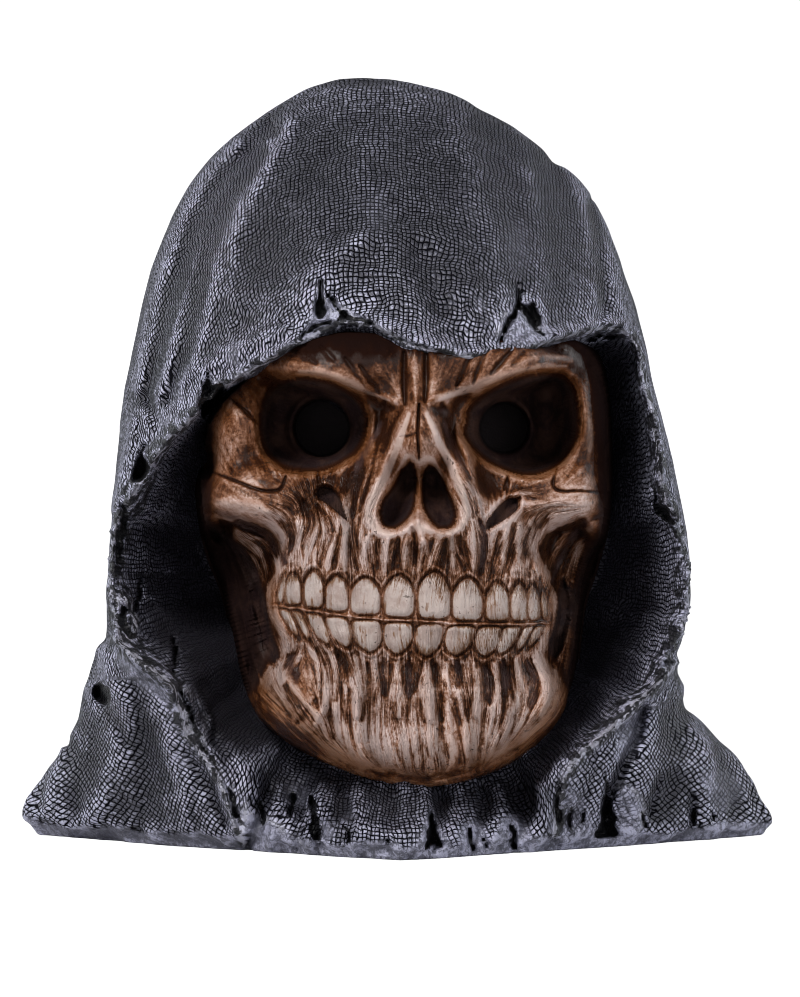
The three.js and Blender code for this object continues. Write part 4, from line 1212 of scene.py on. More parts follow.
def streaks(sheet, flow, cell, length, seed):
    """Noise drawn out along the fibres, about unit size."""
    gx, gy, fx, fy = flow
    pad = 60

    def raw(X, Y):
        return noise(X / cell, Y / cell, X * 0 + 0.5, seed)

    tot = raw(sheet.X, sheet.Y)
    wt = 1.0
    step = 2.0 * sheet.step
    for sign in (1, -1):
        X, Y = sheet.X.copy(), sheet.Y.copy()
        dx0 = bilinear(gx, gy, fx, X, Y) * sign
        dy0 = bilinear(gx, gy, fy, X, Y) * sign
        for k in range(int(length / step)):
            dx, dy = bilinear(gx, gy, fx, X, Y), bilinear(gx, gy, fy, X, Y)
            flip = np.where(dx * dx0 + dy * dy0 < 0, -1.0, 1.0)
            dx, dy = dx * flip, dy * flip
            dx0, dy0 = dx, dy
            X, Y = X + dx * step, Y + dy * step
            w = 0.5 + 0.5 * math.cos(math.pi * (k + 1) * step / (length + step))
            tot = tot + w * raw(X, Y)
            if sign == 1:
                wt += w
            else:
                wt += w
    s = tot / math.sqrt(wt)
    return s / max(s.std(), 1e-6)


def teeth_map(sheet):
    """How far inside the nearest tooth, px, and which row it is in."""
    X, Y = sheet.X, sheet.Y
    best = np.full(X.shape, -40.0)
    bx, by = zip(*BITE)
    bite = np.interp(X, bx, by)
    along = np.zeros(X.shape)
    which = np.zeros(X.shape)
    for row, teeth in ((1, UPPER), (-1, LOWER)):
        for n, tooth in enumerate(teeth):
            if row == 1:
                l, r, top, low = tooth
                tipx, tip = (l + r) / 2 + (6 if n < 1 else 0) - (3 if n > 9 else 0), top
            else:
                l, r, tipx, tip = tooth
            xc = (l + r) / 2
            root = np.interp(xc, bx, by) - row * 2.0
            ln = abs(root - tip)
            v = (root - Y) * row / ln
            half = (r - l) / 2 - (0.5 if row == 1 else 1.0)
            mid = xc + (tipx - xc) * np.clip(v, 0, 1.1)
            u = (X - mid) / half
            v0 = 0.45 if row == 1 else 0.38
            up = np.clip((v - v0) / (1 - v0), 0, None)
            dn = np.clip((v0 - v) / v0, 0, None)
            f_up = (np.abs(u) ** 1.62 + up**1.9) ** (1 / 1.75)
            f_dn = (np.abs(u) ** 3.4 + dn**5) ** (1 / 3.4)
            f = np.where(v > v0, f_up, f_dn)
            d = (1 - f) * np.minimum(half, ln * 0.5)
            near = d > best
            best = np.where(near, d, best)
            along = np.where(near, v, along)
            which = np.where(near, n * 2 + (row < 0), which)
    return best, bite, along, which


def strand_map():
    """Where each fibre crosses the bite, px: a coordinate that runs across the fibres."""
    gx, gy, fx, fy = FLOW
    x, y = np.meshgrid(gx, gy)
    side = np.where(y < 600, 1.0, -1.0)
    for _ in range(90):
        dx, dy = bilinear(gx, gy, fx, x, y), bilinear(gx, gy, fy, x, y)
        flip = np.where(dy * side < 0, -3.0, 3.0) * ((y - 600) * side < 0)
        x, y = x + flip * dx, y + flip * dy
    sx, sy = np.gradient(x, 4.0)
    dense = np.hypot(sx, sy)
    even = smooth(0.10, 0.30, dense) * smooth(6.0, 3.5, dense)
    return gx, gy, x, blur(even.astype(F4), 1, 1)


BASE = base_depth()
FLOW = flow_field()
ACROSS = strand_map()


def face_sheet(x0, y0, x1, y1, step):
    """Depth, paint, painted shade and painted highlights of the face over a rectangle of the drawing."""
    S = Sheet(x0, y0, x1, y1, step)
    X, Y = S.X, S.Y
    relief, wash_and_shade, warm, plum, pale_and_highlight, black = (S.zero() for _ in range(6))
    yb = bilinear(*BASE, X, Y)
    line = S.inside(SKULL, 40)
    R = np.interp(Y, [330, 380, 560, 640, 700, 800], [10, 22, 26, 20, 15, 15])
    inn = np.clip(line, 0, None)
    rnd = np.where(inn < R, R - np.sqrt(np.maximum(R * R - (R - np.minimum(inn, R)) ** 2, 0)), 0)
    rnd_mm = rnd / 4.4 * np.interp(Y, [330, 400, 600, 700, 800], [1.0, 1.4, 1.5, 1.3, 1.1])

    def st(pts, w, a, **k):
        S.stroke(relief, pts, w, a, **k)

    def paint(m, pts, w, a, **k):
        S.stroke(m, pts, w, a, **k)

    # brow
    st([(262, 368), (290, 366), (325, 370), (358, 384), (394, 402)], 9, 1.5)
    st([(431, 402), (461, 391), (494, 378), (528, 362), (566, 358), (590, 368)], 9, 1.5)
    st([(386, 352), (392, 372), (398, 392)], 9, 0.7)
    st([(404, 352), (404, 378), (405, 404)], 3.2, -1.4)
    st([(426, 350), (426, 376), (425, 402)], 3.2, -1.4)
    st([(415, 350), (415, 376), (416, 402)], 4.5, 0.8)
    st([(432, 356), (438, 376), (434, 396)], 6, 0.7)
    st([(360, 366), (369, 379), (379, 393)], 3.6, -0.9)
    st([(345, 358), (356, 374), (364, 386)], 3.0, -0.7)
    st([(457, 385), (465, 366), (472, 350)], 3.4, -1.1)
    st([(473, 384), (480, 364), (488, 348)], 3.2, -1.0)
    st([(491, 374), (501, 362), (512, 350)], 3.4, -1.1)
    st([(512, 366), (524, 352)], 3.4, -0.7)
    st([(300, 352), (316, 364)], 3.4, -0.6)
    st([(320, 346), (334, 360)], 3.4, -0.7)
    # bridge and rims of the nose
    st([(416, 404), (418, 430), (419, 458)], 11, 1.2)
    st([(410, 405), (396, 432), (385, 466), (372, 494), (366, 512), (373, 529), (390, 535), (408, 529), (417, 519)], 4.6, 1.25, taper=False)
    st([(423, 405), (437, 432), (450, 460), (463, 493), (467, 512), (460, 528), (446, 534), (428, 528), (419, 519)], 4.6, 1.25, taper=False)
    st([(419, 404), (418, 430), (419, 460)], 1.6, -1.5)
    st([(400, 437), (408, 436), (416, 433)], 1.4, -0.7)
    st([(384, 402), (379, 424), (368, 446), (358, 468)], 5.5, -1.4)
    st([(442, 404), (447, 426), (458, 452), (470, 478)], 5.5, -1.4)
    st([(374, 414), (372, 436), (363, 458), (350, 474)], 3.0, 0.7)
    st([(456, 414), (458, 436), (470, 458), (484, 472)], 3.0, 0.7)
    st([(386, 420), (376, 450), (368, 480), (360, 510)], 3.2, -0.8)
    st([(450, 430), (462, 458), (474, 486), (478, 512)], 3.2, -0.8)
    for hole in ((385, 408, 9), (442, 411, 7)):
        g = np.exp(-(((X - hole[0]) / hole[2]) ** 2 + ((Y - hole[1]) / 5) ** 2))
        relief -= 1.6 * g
        wash_and_shade += 0.7 * g
    # sockets
    sock = np.maximum(S.inside(SOCKETS[0], 50), S.inside(SOCKETS[1], 50))
    for out in SOCKETS:
        c = np.mean(out, 0)
        ring = [tuple(c + (np.array(p) - c) * 1.075) for p in out] + [tuple(c + (np.array(out[0]) - c) * 1.075)]
        st(ring, 3.6, 0.75, taper=False)
        outer_ring = [tuple(c + (np.array(p) - c) * 1.16) for p in out] + [tuple(c + (np.array(out[0]) - c) * 1.16)]
        paint(warm, outer_ring, 7, 0.35, taper=False)
    depth = 12.5 * (1 - np.exp(-np.clip(sock, 0, None) / 13.0)) + 2.4 * smooth(-2.2, 3.2, sock)
    bore = np.full(X.shape, -30.0)
    for bx, by, br in BORES:
        bore = np.maximum(bore, br - np.hypot(X - bx, (Y - by) * 0.97))
    depth = depth - 1.5 * np.exp(-(((bore + 4.5) / 3.2) ** 2)) * smooth(4, 14, sock)
    depth = depth + 13 * smooth(-0.8, 1.2, bore) * smooth(3, 8, sock)
    black = np.maximum(black, smooth(-1, 1.5, bore) * smooth(3, 8, sock))
    # holes of the nose and the small ones below the sockets
    nose = np.maximum(S.inside(NOSE[0], 20), S.inside(NOSE[1], 20))
    depth = depth + 3.2 * smooth(-1.4, 3.0, nose) + 6.5 * (1 - np.exp(-np.clip(nose, 0, None) / 7.0))
    small = np.maximum(S.inside(SMALL[0], 15), S.inside(SMALL[1], 15))
    depth = depth + 1.6 * smooth(-1.5, 2.2, small) + 2.6 * (1 - np.exp(-np.clip(small, 0, None) / 4.0))
    for out in SMALL:
        c = np.mean(out, 0)
        ring = [tuple(c + (np.array(p) - c) * 1.22) for p in out] + [tuple(c + (np.array(out[0]) - c) * 1.22)]
        st(ring, 2.6, 0.5, taper=False)
    st([(412, 528), (416, 540), (415, 574)], 3.0, -1.3)
    st([(418, 524), (421, 536), (420, 548)], 4.0, 1.2)
    # cracks
    for c in ([(228, 396), (242, 408), (258, 424)], [(212, 472), (228, 478), (246, 485), (264, 491), (280, 489), (286, 476)],
              [(557, 468), (553, 484), (560, 491), (580, 491), (604, 493)], [(318, 474), (320, 484)], [(508, 476), (504, 490)]):
        st(c, 1.5, -0.9)
        paint(wash_and_shade, c, 2.4, 0.8, mode="max")
    # cheekbones
    st([(218, 500), (244, 504), (272, 512), (300, 520)], 9, 0.8)
    st([(600, 502), (572, 508), (548, 516), (528, 520)], 8, 0.7)
    st([(206, 478), (214, 506), (236, 532)], 7, 0.5)
    # ropes and grooves from the cheekbones to the teeth
    for n, (c, w, a) in enumerate([
        ([(364, 469), (356, 497), (351, 524), (353, 552), (358, 572)], 4.5, -1.3), ([(344, 524), (337, 547), (334, 568)], 4, -1.2),
        ([(318, 506), (331, 528), (324, 552), (318, 572)], 4.2, -1.4), ([(304, 502), (311, 524), (296, 547), (292, 569)], 4.5, -1.4),
        ([(281, 522), (291, 541), (282, 566)], 4.5, -1.4), ([(378, 541), (375, 571)], 4, -1.1), ([(398, 538), (394, 568)], 3.4, -1.0),
        ([(433, 540), (423, 570)], 3.4, -1.1), ([(446, 540), (441, 566)], 3.2, -0.8), ([(460, 538), (467, 568)], 4, -1.2),
        ([(481, 522), (486, 548), (481, 574)], 4.6, -1.7), ([(500, 534), (494, 558), (492, 582)], 4, -1.2),
        ([(514, 524), (511, 547), (508, 571)], 4, -1.2), ([(529, 528), (525, 552), (530, 576)], 4.2, -1.3),
        ([(547, 520), (534, 541), (531, 568)], 4, -1.1), ([(560, 530), (546, 556), (541, 582)], 4, -1.1)]):
        st(c, w * 1.25, a * 0.9)
        paint(wash_and_shade, c, w * 1.5, 0.30)
        paint(plum, c, w * 1.3, 0.35 if a < -1.25 else 0.1)
    for c, w, a in [([(352, 478), (342, 510), (344, 540), (345, 570)], 4.5, 1.0), ([(370, 534), (365, 552), (367, 574)], 4, 0.9),
                    ([(332, 534), (328, 556), (326, 574)], 4, 0.9), ([(316, 530), (309, 552), (305, 572)], 4, 0.9),
                    ([(296, 522), (302, 536), (288, 560)], 4, 0.8), ([(388, 540), (385, 570)], 4, 0.8), ([(407, 540), (404, 570)], 3.6, 0.9),
                    ([(424, 540), (428, 552), (430, 568)], 3.2, 0.8), ([(452, 536), (453, 566)], 4, 0.8), ([(474, 520), (474, 568)], 4.5, 1.0),
                    ([(493, 530), (489, 560)], 3.6, 0.9), ([(507, 530), (502, 560)], 3.4, 0.8), ([(520, 524), (518, 560)], 3.6, 0.9),
                    ([(538, 530), (526, 566)], 3.6, 0.8), ([(553, 528), (540, 560)], 3.6, 0.8), ([(268, 512), (282, 540), (272, 566)], 5, 0.9),
                    ([(581, 522), (564, 540), (550, 566)], 4.5, 1.3)]:
        st(c, w * 1.1, a * 1.0)
        paint(pale_and_highlight, c, w * 0.7, 0.25)
        paint(wash_and_shade, c, w * 1.2, -0.18)
    # side bands under the cheekbones
    for c, w, a in [([(217, 512), (244, 523), (267, 538), (284, 562)], 7, -2.0), ([(214, 536), (240, 552), (256, 580), (258, 618)], 6, -1.6),
                    ([(606, 514), (584, 524), (563, 552), (552, 582)], 4, -1.4)]:
        st(c, w, a)
        paint(plum, c, w * 1.2, 0.75)
        paint(wash_and_shade, c, w * 1.5, 0.4)
    st([(222, 528), (248, 540), (266, 566), (270, 596)], 4, 0.9)
    st([(212, 560), (232, 590), (242, 628), (246, 664)], 6, 0.8)
    # hollows beside the teeth
    dL = S.inside([(246, 590), (258, 580), (268, 600), (274, 630), (282, 656), (272, 664), (258, 640), (250, 612)], 20)
    dR = S.inside([(545, 640), (552, 620), (556, 596), (561, 580), (572, 586), (575, 610), (568, 640), (558, 658), (549, 658)], 20)
    depth = depth + 5.0 * smooth(-4, 9, np.maximum(dL, dR))
    gone = S.zero()
    S.area(gone, [(196, 520), (216, 528), (238, 548), (250, 574), (256, 606), (262, 640), (262, 668), (246, 690), (232, 640),
                  (214, 590), (196, 560)], 9.0, 14)
    S.area(gone, [(612, 520), (598, 536), (584, 560), (576, 590), (573, 640), (566, 676), (580, 690), (600, 600)], 8.0, 11)
    depth = depth + gone
    st([(256, 602), (264, 630), (276, 660)], 3.0, 1.2)
    for c in ([(230, 546), (244, 574), (251, 604), (262, 636), (280, 664)], [(222, 540), (234, 572), (242, 612), (250, 650), (262, 684)],
              [(238, 548), (252, 572), (260, 600), (270, 628)], [(226, 580), (234, 620), (244, 664), (256, 700)]):
        st(c, 2.6, 0.8)
        paint(pale_and_highlight, c, 2.4, 0.5)
    st([(566, 580), (572, 612), (566, 644), (553, 664)], 3.4, 1.5)
    # the lower jaw: roots and the hollows between them
    for c, w, a in [([(384, 660), (383, 676), (384, 694)], 5, -1.5), ([(408, 662), (408, 678), (409, 696)], 5, -1.5),
                    ([(456, 662), (458, 672), (458, 686)], 5, -1.4), ([(484, 668), (488, 686), (490, 702)], 5, -1.4),
                    ([(503, 662), (506, 678), (505, 694)], 5, -1.4), ([(294, 655), (290, 664), (296, 674)], 6, -1.6),
                    ([(340, 652), (343, 672), (336, 700)], 4, -1.1), ([(316, 700), (304, 716), (298, 722)], 3.4, -0.8),
                    ([(528, 662), (534, 682), (530, 706)], 5, -1.3), ([(368, 664), (368, 690), (362, 720)], 3.4, -0.9),
                    ([(436, 664), (440, 690), (442, 720)], 3.4, -0.9), ([(472, 664), (472, 690), (468, 720)], 3.4, -0.9),
                    ([(396, 690), (396, 730), (400, 760)], 3.6, -0.4), ([(420, 700), (422, 740), (424, 766)], 3.6, -0.4),
                    ([(350, 690), (350, 726), (356, 756)], 3.6, -0.4), ([(456, 700), (458, 736), (460, 762)], 3.6, -0.4),
                    ([(330, 710), (334, 738)], 3.0, -0.6), ([(486, 710), (482, 744)], 3.0, -0.6), ([(508, 706), (500, 736)], 3.0, -0.6)]:
        st(c, w * 1.35, a * 1.0)
        paint(plum if a < -1.2 else wash_and_shade, c, w * 1.4, 0.75 if a < -1.2 else 0.2)
        paint(wash_and_shade, c, w * 1.5, 0.5 if a < -1.2 else 0.2)
    for c, w, a in [([(298, 657), (288, 668), (283, 682)], 5, 1.2), ([(314, 652), (325, 676), (325, 700), (316, 724)], 4.6, 1.3),
                    ([(356, 660), (359, 684), (357, 716)], 5.5, 1.2), ([(396, 664), (396, 690), (398, 716)], 4.6, 1.0),
                    ([(426, 662), (428, 684), (430, 720)], 5, 1.2), ([(446, 664), (449, 684)], 3.4, 0.8), ([(473, 665), (474, 690), (476, 716)], 4.6, 1.2),
                    ([(495, 664), (497, 690), (494, 716)], 4, 1.0), ([(516, 662), (520, 684), (514, 712)], 4.6, 1.1),
                    ([(534, 663), (549, 688), (541, 718)], 4.6, 1.3), ([(287, 679), (303, 700), (323, 722)], 4, 1.0)]:
        st(c, w * 1.2, a * 1.1)
        paint(pale_and_highlight, c, w * 0.8, 0.3)
        paint(wash_and_shade, c, w * 1.2, -0.25)
    # fibres drawn out along the bone
    zone = S.zero() + 0.34
    S.area(zone, [(282, 500), (330, 480), (372, 480), (372, 540), (460, 540), (470, 480), (540, 500), (580, 520), (555, 590),
                  (420, 580), (270, 575), (240, 540)], 0.75, 14)
    S.area(zone, [(262, 640), (560, 640), (556, 720), (500, 765), (420, 780), (340, 765), (262, 715)], 0.75, 14)
    S.area(zone, [(212, 470), (300, 490), (280, 515), (212, 520)], -0.12, 8)
    zone = zone * (1 - 0.45 * smooth(420, 385, Y))
    still = S.zero()
    S.area(still, [(222, 560), (256, 574), (268, 600), (276, 640), (272, 668), (252, 700), (232, 690), (220, 640)], 1.0, 8)
    zone = zone * (1 - 0.92 * np.clip(still, 0, 1))
    jaw = smooth(688, 722, Y)
    coarse = streaks(S, FLOW, 9.6, 66, 71)
    fine = streaks(S, FLOW, 4.2, 36, 72)
    hair = streaks(S, FLOW, 1.7, 20, 73)
    across = bilinear(ACROSS[0], ACROSS[1], ACROSS[2], X, Y)
    even = bilinear(ACROSS[0], ACROSS[1], ACROSS[3], X, Y)
    lump = fbm(X / 34, Y / 34, X * 0, 75, 3)
    pit = noise(X / 3.1, Y / 3.1, X * 0, 76)
    crease = np.exp(-((coarse / 0.24) ** 2))  # thin lines between the ropes
    crease2 = np.exp(-((fine / 0.38) ** 2))
    relief = relief + zone * (0.30 * np.tanh(coarse) + 0.34 * np.minimum(np.abs(coarse), 1.3) - 0.20 * crease
                              + 0.15 * np.minimum(np.abs(fine), 1.3) - 0.15 * crease2 + 0.12 * np.tanh(fine) + 0.06 * hair)
    relief = relief + 0.45 * lump + 0.05 * pit
    open_zone = 0.55 + 0.45 * zone
    quiet = 1 - 0.9 * smooth(-3, 4, sock)
    relief = relief * quiet

    # teeth
    tooth, bite, along, which = teeth_map(S)
    field = smooth(-7, -2, tooth)
    arch = S.inside([(269, 600), (272, 584), (284, 573), (302, 568), (325, 566), (350, 571), (382, 573), (416, 568), (452, 572),
                     (484, 577), (512, 580), (543, 583), (552, 592), (555, 606), (551, 630), (543, 648), (528, 654), (500, 661),
                     (455, 662), (426, 662), (397, 660), (370, 658), (347, 653), (328, 650), (310, 646), (296, 641), (283, 632), (272, 616)], 34)
    a_in = smooth(-6, 3, arch)
    # the arch the teeth stand on is smoother than the bone round it
    xx = (X - 413.0) / 4.43
    y_arch = -40 - 27.6 * np.sqrt(np.clip(1 - (xx / 33.6) ** 2, 0.02, 1))
    upper_row = Y < bite
    y_arch = y_arch + np.where(upper_row, 0.0, 1.0 * smooth(0, 12, Y - bite))
    y_teeth = y_arch + 0.6
    swell = 1.75 * (1 - (1 - np.clip(tooth / 11.0, 0, 1)) ** 2.2)
    groove = np.exp(-(((tooth + 0.1) / 0.95) ** 2))
    ridge = np.exp(-(((tooth + 2.9) / 1.3) ** 2))
    gum = ridge * smooth(0.5, 0.75, np.where(along > 0.5, along, 0)) + 0.25 * ridge
    t_rel = np.where(tooth > 0, swell, 0) - 0.34 * groove + 0.5 * gum
    t_rel = t_rel + np.where(tooth > 1, 0.05 * fine + 0.05 * coarse, 0.0)
    wob = Y - bite + 0.8 * noise(X / 9, X * 0, X * 0, 91)
    t_rel = t_rel - 0.2 * np.exp(-((wob / 3.0) ** 2)) * a_in + 0.75 * np.exp(-((wob / 1.5) ** 2)) * a_in
    by_mouth = smooth(32, 2, -arch) * smooth(146, 122, np.abs(X - 413))
    shape = yb * (1 - by_mouth) + (y_arch + 1.3) * by_mouth + rnd_mm - relief + depth
    y_all = shape * (1 - a_in) + (y_teeth - 0.6 * relief * smooth(1.0, -3.0, tooth) + rnd_mm * 0.3) * a_in - t_rel * smooth(-8, -1, arch)
    out = line < 0
    y_all = np.where(out, np.minimum(y_all + np.clip(-line, 0, None) * 4.0 + 4, -2.0), y_all)

    # paint, painted shade and painted highlights
    near = S.soften(y_all, 3.2)
    mid = S.soften(y_all, 9)
    far = S.soften(y_all, 26)
    hollow_s = np.clip((y_all - near) / 0.14, -1.4, 1.6)
    hollow_m = np.clip((y_all - mid) / 0.6, -1.5, 1.6)
    hollow_l = np.clip((y_all - far) / 3.0, -1.2, 1.6)
    wash_and_shade = wash_and_shade + 0.58 + 0.30 * hollow_s + 0.24 * hollow_m + 0.22 * hollow_l - 0.06 * coarse * zone - 0.10 * fine * open_zone
    wash_and_shade = wash_and_shade - 0.12 * hair * open_zone + zone * (0.20 * crease + 0.16 * crease2 - 0.08 * np.minimum(np.abs(coarse), 1.3))
    wash_and_shade = wash_and_shade - 0.34 * jaw * smooth(12, 30, inn)
    # wash under the brow's top and along the outline; under the hood's edge and where the bone turns away it is painted
    # shade
    for c, w, a in [([(339, 356), (352, 360), (366, 362), (394, 368)], 9, 0.5), ([(430, 350), (500, 346), (560, 342)], 9, 0.35),
                    ([(206, 430), (202, 470), (206, 520), (216, 560), (232, 620), (243, 680)], 13, 0.6),
                    ([(605, 400), (607, 470), (603, 530), (590, 575), (580, 620), (575, 680)], 13, 0.6),
                    ([(258, 700), (300, 742), (372, 776), (420, 782), (484, 770), (530, 742), (562, 706)], 8, 0.45)]:
        paint(wash_and_shade, c, w, a)
    for c, w, a in [([(256, 686), (289, 722), (331, 754), (373, 775), (420, 781), (484, 775), (525, 750), (552, 716), (568, 682)], 19, 1.0),
                    ([(204, 430), (200, 470), (204, 520), (214, 560), (226, 600)], 13, 0.75), ([(604, 390), (607, 470), (602, 530), (588, 575)], 12, 0.7),
                    ([(246, 500), (280, 498), (310, 494)], 8, 0.35), ([(256, 652), (262, 680), (280, 704)], 11, 0.5),
                    ([(548, 640), (556, 680), (548, 712)], 11, 0.5), ([(404, 568), (440, 566)], 10, 0.25),
                    ([(268, 560), (272, 590), (276, 630)], 9, 0.55), ([(540, 560), (548, 590), (546, 630)], 8, 0.5)]:
        paint(warm, c, w, a, mode="max")
    for c, w, a in [([(381, 422), (369, 447), (357, 469), (350, 498)], 5, 0.7), ([(444, 422), (452, 444), (465, 470), (474, 494)], 5, 0.7),
                    ([(352, 506), (350, 540), (352, 566)], 5, 0.6), ([(480, 500), (484, 530), (482, 566)], 7, 0.75),
                    ([(496, 530), (496, 560)], 6, 0.45), ([(324, 520), (330, 546)], 6, 0.5), ([(300, 520), (306, 548)], 6, 0.5),
                    ([(376, 404), (388, 410)], 6, 0.5), ([(440, 410), (452, 414)], 6, 0.5), ([(560, 606), (562, 640)], 8, 0.5),
                    ([(254, 600), (264, 640)], 8, 0.6), ([(404, 360), (403, 396)], 4, 0.5), ([(398, 540), (392, 566)], 5, 0.4),
                    ([(432, 542), (424, 568)], 5, 0.5), ([(256, 424), (252, 444)], 5, 0.4)]:
        paint(plum, c, w, a, mode="max")
    # pale paint on the brow, cheekbones, nose rims and chin, partly painted highlight
    for c, w, a in [([(270, 368), (300, 366), (330, 372), (362, 386)], 8, 0.5), ([(440, 396), (470, 386), (500, 372), (530, 360)], 7, 0.5),
                    ([(217, 502), (240, 506), (268, 512)], 10, 0.6), ([(224, 470), (234, 450), (240, 428)], 8, 0.35),
                    ([(594, 502), (566, 504), (546, 508)], 9, 0.45), ([(415, 352), (415, 376), (416, 402)], 4, 0.45),
                    ([(409, 414), (400, 440), (388, 470), (370, 506), (374, 526), (392, 536)], 4.6, 1.25), ([(427, 414), (438, 440), (453, 470), (466, 506), (462, 526), (448, 533)], 4.6, 1.25),
                    ([(398, 470), (408, 456), (418, 462), (430, 458), (442, 476)], 3.2, 0.9), ([(408, 530), (420, 528), (430, 532)], 6, 0.8),
                    ([(392, 374), (395, 388), (400, 398)], 5, 0.5), ([(300, 372), (330, 376), (360, 389), (388, 400)], 4, 0.7),
                    ([(440, 400), (468, 390), (500, 378), (536, 368), (566, 366)], 4, 0.7), ([(584, 400), (590, 430), (588, 462)], 5, 0.4),
                    ([(330, 728), (380, 738), (430, 742), (480, 732)], 14, 0.25), ([(590, 420), (590, 450)], 8, 0.3)]:
        paint(pale_and_highlight, c, w, a)
    # dark paint inside the sockets, the holes and the hollows beside the teeth, deepened as painted shade
    dark = smooth(-1.0, 11.0, sock) + smooth(-1.0, 9, nose) + 0.85 * smooth(-1, 3, small) + 0.8 * smooth(-4, 8, np.maximum(dL, dR))
    rimwarm = np.exp(-(((sock - 3.0) / 6.5) ** 2)) + np.exp(-(((nose - 1.0) / 3.2) ** 2)) * 0.7
    warm = warm + 0.9 * rimwarm
    wash_and_shade = wash_and_shade + 0.5 * rimwarm + 0.45 * np.exp(-(((sock + 9.0) / 9.0) ** 2))
    shade_top = smooth(368, 340, Y + 3 * np.sin(X / 33) + 6 * noise(X / 7, Y / 18, X * 0, 93) + 10 * smooth(430, 520, X))
    # painted shade: the skull's sides and upper right, where the bone turns away under the hood, are darkened
    for area, edge, amt in [([(196, 520), (216, 528), (238, 548), (250, 574), (256, 606), (262, 640), (262, 668), (246, 690),
                              (232, 640), (214, 590), (196, 560)], 11, 1.0),
                            ([(612, 520), (598, 536), (584, 560), (576, 590), (573, 640), (566, 676), (580, 690), (600, 600)], 9, 0.95),
                            ([(196, 420), (210, 430), (207, 470), (206, 520), (196, 520)], 8, 0.6),
                            ([(618, 330), (546, 322), (576, 348), (593, 378), (599, 420), (602, 460), (602, 520), (616, 520)], 9, 1.0)]:
        m = S.zero()
        S.area(m, area, amt, edge)
        side_shade = m if area[0][0] == 196 and area[0][1] == 520 else side_shade + m
    t_mask = smooth(0.2, 2.2, tooth) * a_in
    t_wash = np.clip(0.40 * groove + 0.46 * np.exp(-((np.clip(tooth, 0, None) / 3.0) ** 2)) - 0.10 * fine - 0.14 * hair
                     + 0.30 * smooth(0.5, 1.0, along), 0, 1.0) * smooth(-9, -3, tooth) * a_in
    side = smooth(60, 135, np.abs(X - 413))
    t_wash = t_wash + 0.3 * side * t_mask
    near_teeth = smooth(-5, -1, tooth) * a_in * (1 - t_mask)
    wash_and_shade = wash_and_shade * (1 - near_teeth) + np.clip(wash_and_shade, 0.1, 0.62) * near_teeth
    wash_and_shade = wash_and_shade * (1 - 0.75 * t_mask) + t_wash
    wash_and_shade = wash_and_shade + (0.75 * np.exp(-((wob / 3.4) ** 2)) - 0.5 * np.exp(-((wob / 1.3) ** 2))) * a_in
    under = smooth(540, 640, Y)
    nick = streaks(S, FLOW, 1.6, 6, 74)
    patchy = noise(X / 21, Y / 21, X * 0, 77) + 0.5 * noise(X / 8, Y / 8, X * 0, 78)
    wash_and_shade = wash_and_shade + 0.58 * smooth(1.1, 1.8, nick) * smooth(-0.5, 0.6, patchy) + 0.34 * patchy
    # darker from the sockets up and a little lighter below; under the brow it is painted shade of the hood as well as
    # paint
    wash_and_shade = wash_and_shade + 0.60 * smooth(530, 480, Y) + 0.50 * smooth(404, 376, Y) - 0.12 * smooth(520, 560, Y)
    paint(wash_and_shade, [(206, 488), (240, 500), (280, 506), (306, 512)], 20, 0.30)
    paint(wash_and_shade, [(246, 672), (260, 706), (286, 732), (316, 752)], 14, 1.25)
    # painted shadow of the hood's edge on the forehead
    paint(wash_and_shade, [(300, 344), (340, 346), (380, 352)], 15, 0.45)
    paint(wash_and_shade, [(292, 662), (300, 690), (314, 714)], 13, 0.9)
    paint(warm, [(292, 662), (300, 690), (314, 714)], 13, 0.35, mode="max")
    paint(plum, [(290, 662), (296, 682)], 9, 0.8, mode="max")
    for c, w, a in [([(266, 486), (300, 492), (345, 486), (362, 468)], 14, 0.55), ([(470, 478), (500, 488), (540, 492)], 12, 0.35),
                    ([(252, 490), (280, 500), (312, 500)], 9, 0.3)]:
        paint(wash_and_shade, c, w, a)
    # more wash on the temples, the bridge and the sides of the nose; the strokes along the brow's top are painted
    # shadow of the hood's edge
    for c, w, a in [([(228, 420), (236, 450), (240, 474)], 15, 0.45), ([(594, 390), (597, 430), (590, 470)], 15, 0.55),
                    ([(416, 400), (418, 430), (419, 458)], 15, 0.75), ([(300, 350), (350, 348), (392, 358)], 17, 0.8),
                    ([(402, 408), (388, 440), (374, 474), (360, 508)], 5, 0.5), ([(434, 408), (448, 440), (462, 474), (474, 504)], 5, 0.5),
                    ([(440, 352), (500, 348), (560, 344)], 13, 0.2)]:
        paint(wash_and_shade, c, w, a)
